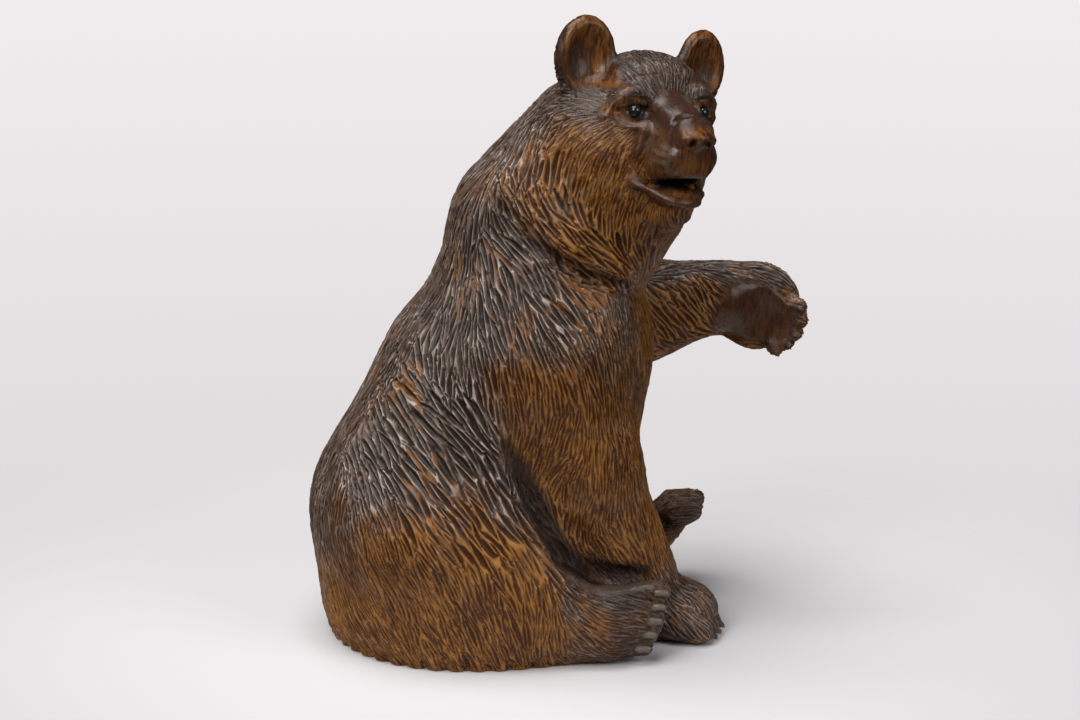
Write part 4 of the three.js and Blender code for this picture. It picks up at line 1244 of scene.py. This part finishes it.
def wood_material():
    material = bpy.data.materials.new("stained_wood")
    n = Nodes(material)
    bare, bold = n.layer("bare"), n.layer("bold")
    lines = lines_of_strokes(n, bare, bold)
    strand = n.unevenness(n.layer("strand", "Vector"), 1.0, 2, 0.5)
    flecks = n.noise(n.where, 420, 3)
    grain_where = n.add("ShaderNodeMapping", {"Vector": n.where, "Scale": (900, 900, 60)}).outputs[0]
    grain = n.noise(grain_where, 1, 3)
    colour = n.mix(bare, fur_colour(n, lines, bold, flecks, strand), smooth_colour(n, grain, strand))
    # Painted shade: black mixed into the creases and the mouth; the near foot is darkened less.
    colour = n.mix(n.times(n.layer("painted_shade_and_foot_darkening"), 0.94), colour, SHADE_AND_FOOT_BLACK)
    roughness = n.sum(n.span(flecks, 0.3, 0.7, 0.30, 0.46), n.times(bare, -0.12))
    hairs = n.times(strand, n.span(bare, 0.0, 1.0, 2.5, 0.25))
    hairs = n.sum(hairs, n.times(lines[1], n.span(bold, 0.0, 1.0, 0.8, 1.6)))
    height = n.sum(n.sum(n.times(flecks, 0.3), n.times(grain, 0.5)), hairs)
    bump = n.add("ShaderNodeBump", {"Strength": 0.5, "Distance": 0.0002, "Height": height})
    n.shade(Base_Color=colour, Roughness=roughness, Normal=bump.outputs[0], Specular_IOR_Level=0.28)
    return material


def glass_material():
    material = bpy.data.materials.new("eye_glass")
    n = Nodes(material)
    streaks = n.noise(n.where, 900, 3)
    colour = n.mix(streaks, rgb(0.004, 0.005, 0.005), rgb(0.014, 0.015, 0.016))
    n.shade(Base_Color=colour, Roughness=n.span(streaks, 0.3, 0.7, 0.08, 0.15))
    return material


def floor_material():
    material = bpy.data.materials.new("paper")
    n = Nodes(material)
    colour = n.mix(n.noise(n.where, 6, 2), rgb(0.635, 0.617, 0.625), rgb(0.66, 0.642, 0.650))
    away = n.add("ShaderNodeVectorMath", {0: n.where}, operation="LENGTH").outputs["Value"]
    n.shade(Base_Color=colour, Roughness=0.9, Alpha=n.span(away, *FLOOR_FADE, 1.0, 0.0))
    return material


body = body_piece()
body.data.materials.append(wood_material())
glass = glass_material()
for side in ("left", "right"):
    bead = eye_piece("bead_" + side, "glass_eye_" + side)
    bead.data.materials.append(glass)


# Floor, light, camera.

FLOOR_RADIUS = 1.4
FLOOR_BELOW = 0.0002
LIGHTS_AIM = Vector((0.0, 0.0, 0.1))


def floor_piece():
    """A pale round sheet that fades into the pale room."""
    mesh = bpy.data.meshes.new("paper_sheet")
    made = bmesh.new()
    bmesh.ops.create_circle(made, cap_ends=True, segments=96, radius=FLOOR_RADIUS)
    made.to_mesh(mesh)
    made.free()
    mesh.materials.append(floor_material())
    sheet = new_object("paper_sheet", mesh)
    sheet.location.z = -FLOOR_BELOW


def aimed(holder, place, way):
    """Puts a light or the camera at its place, looking the given way."""
    holder.location = place
    holder.rotation_mode = "QUATERNION"
    holder.rotation_quaternion = way.to_track_quat("-Z", "Y")


def area_light(name, place, size, power):
    lamp = bpy.data.lights.new(name, "AREA")
    lamp.shape = "RECTANGLE"
    lamp.size, lamp.size_y = size
    lamp.energy = power
    aimed(new_object(name, lamp), Vector(place), LIGHTS_AIM - Vector(place))


def studio():
    """A pale room seen behind the figure, dim light from it, and soft boxes above and in front."""
    world = bpy.data.worlds.new("studio")
    bpy.context.scene.world = world
    n = Nodes(world)
    room = n.tree.nodes["Background"]
    n.feed(room.inputs["Color"], rgb(0.9, 0.93, 1.0))
    n.feed(room.inputs["Strength"], 0.05)
    slope = n.add("ShaderNodeSeparateXYZ", {"Vector": n.coordinates["Generated"]}).outputs["Z"]
    fall = {"Value": slope, "From Min": -0.30, "From Max": -0.16, "To Min": 0.82}
    shade = n.add("ShaderNodeMapRange", fall).outputs["Result"]
    seen = n.add("ShaderNodeBackground", {"Color": rgb(0.88, 0.845, 0.855), "Strength": shade})
    by_camera = n.add("ShaderNodeLightPath").outputs["Is Camera Ray"]
    choose = n.add("ShaderNodeMixShader", {0: by_camera, 1: room.outputs[0], 2: seen.outputs[0]})
    n.feed(n.tree.nodes["World Output"].inputs["Surface"], choose.outputs[0])
    bpy.context.scene.view_settings.view_transform = "Standard"
    area_light("overhead", (-0.45, -0.10, 2.0), (1.8, 1.6), 46)
    area_light("key", (-1.10, -2.0, 1.8), (1.2, 1.2), 42)
    area_light("right", (1.8, -1.4, 1.3), (1.4, 1.4), 22)


# The photo's camera, in steps and in the photo's pixels.
VIEW_TILT = math.radians(14)
VIEW_DISTANCE = 1200
VIEW_HEIGHT = 100
STEPS_PER_PIXEL = 0.309
PICTURE = (1080, 720)
FIGURE_X, GROUND_Y = 520, 629
SENSOR = 36


def photo_camera():
    data = bpy.data.cameras.new("photo_camera")
    camera = new_object("photo_camera", data)
    bpy.context.scene.camera = camera
    back = Vector((0, -math.cos(VIEW_TILT), math.sin(VIEW_TILT)))
    aimed(camera, Vector((0, 0, VIEW_HEIGHT * STEP)) + back * (VIEW_DISTANCE * STEP), -back)
    data.sensor_width = SENSOR
    data.lens = SENSOR * VIEW_DISTANCE / (PICTURE[0] * STEPS_PER_PIXEL)
    aim_y = GROUND_Y - VIEW_HEIGHT * math.cos(VIEW_TILT) / STEPS_PER_PIXEL
    data.shift_x = (PICTURE[0] / 2 - FIGURE_X) / PICTURE[0]
    data.shift_y = (aim_y - PICTURE[1] / 2) / PICTURE[0]
    data.clip_start, data.clip_end = 0.05, 20


floor_piece()
studio()
photo_camera()
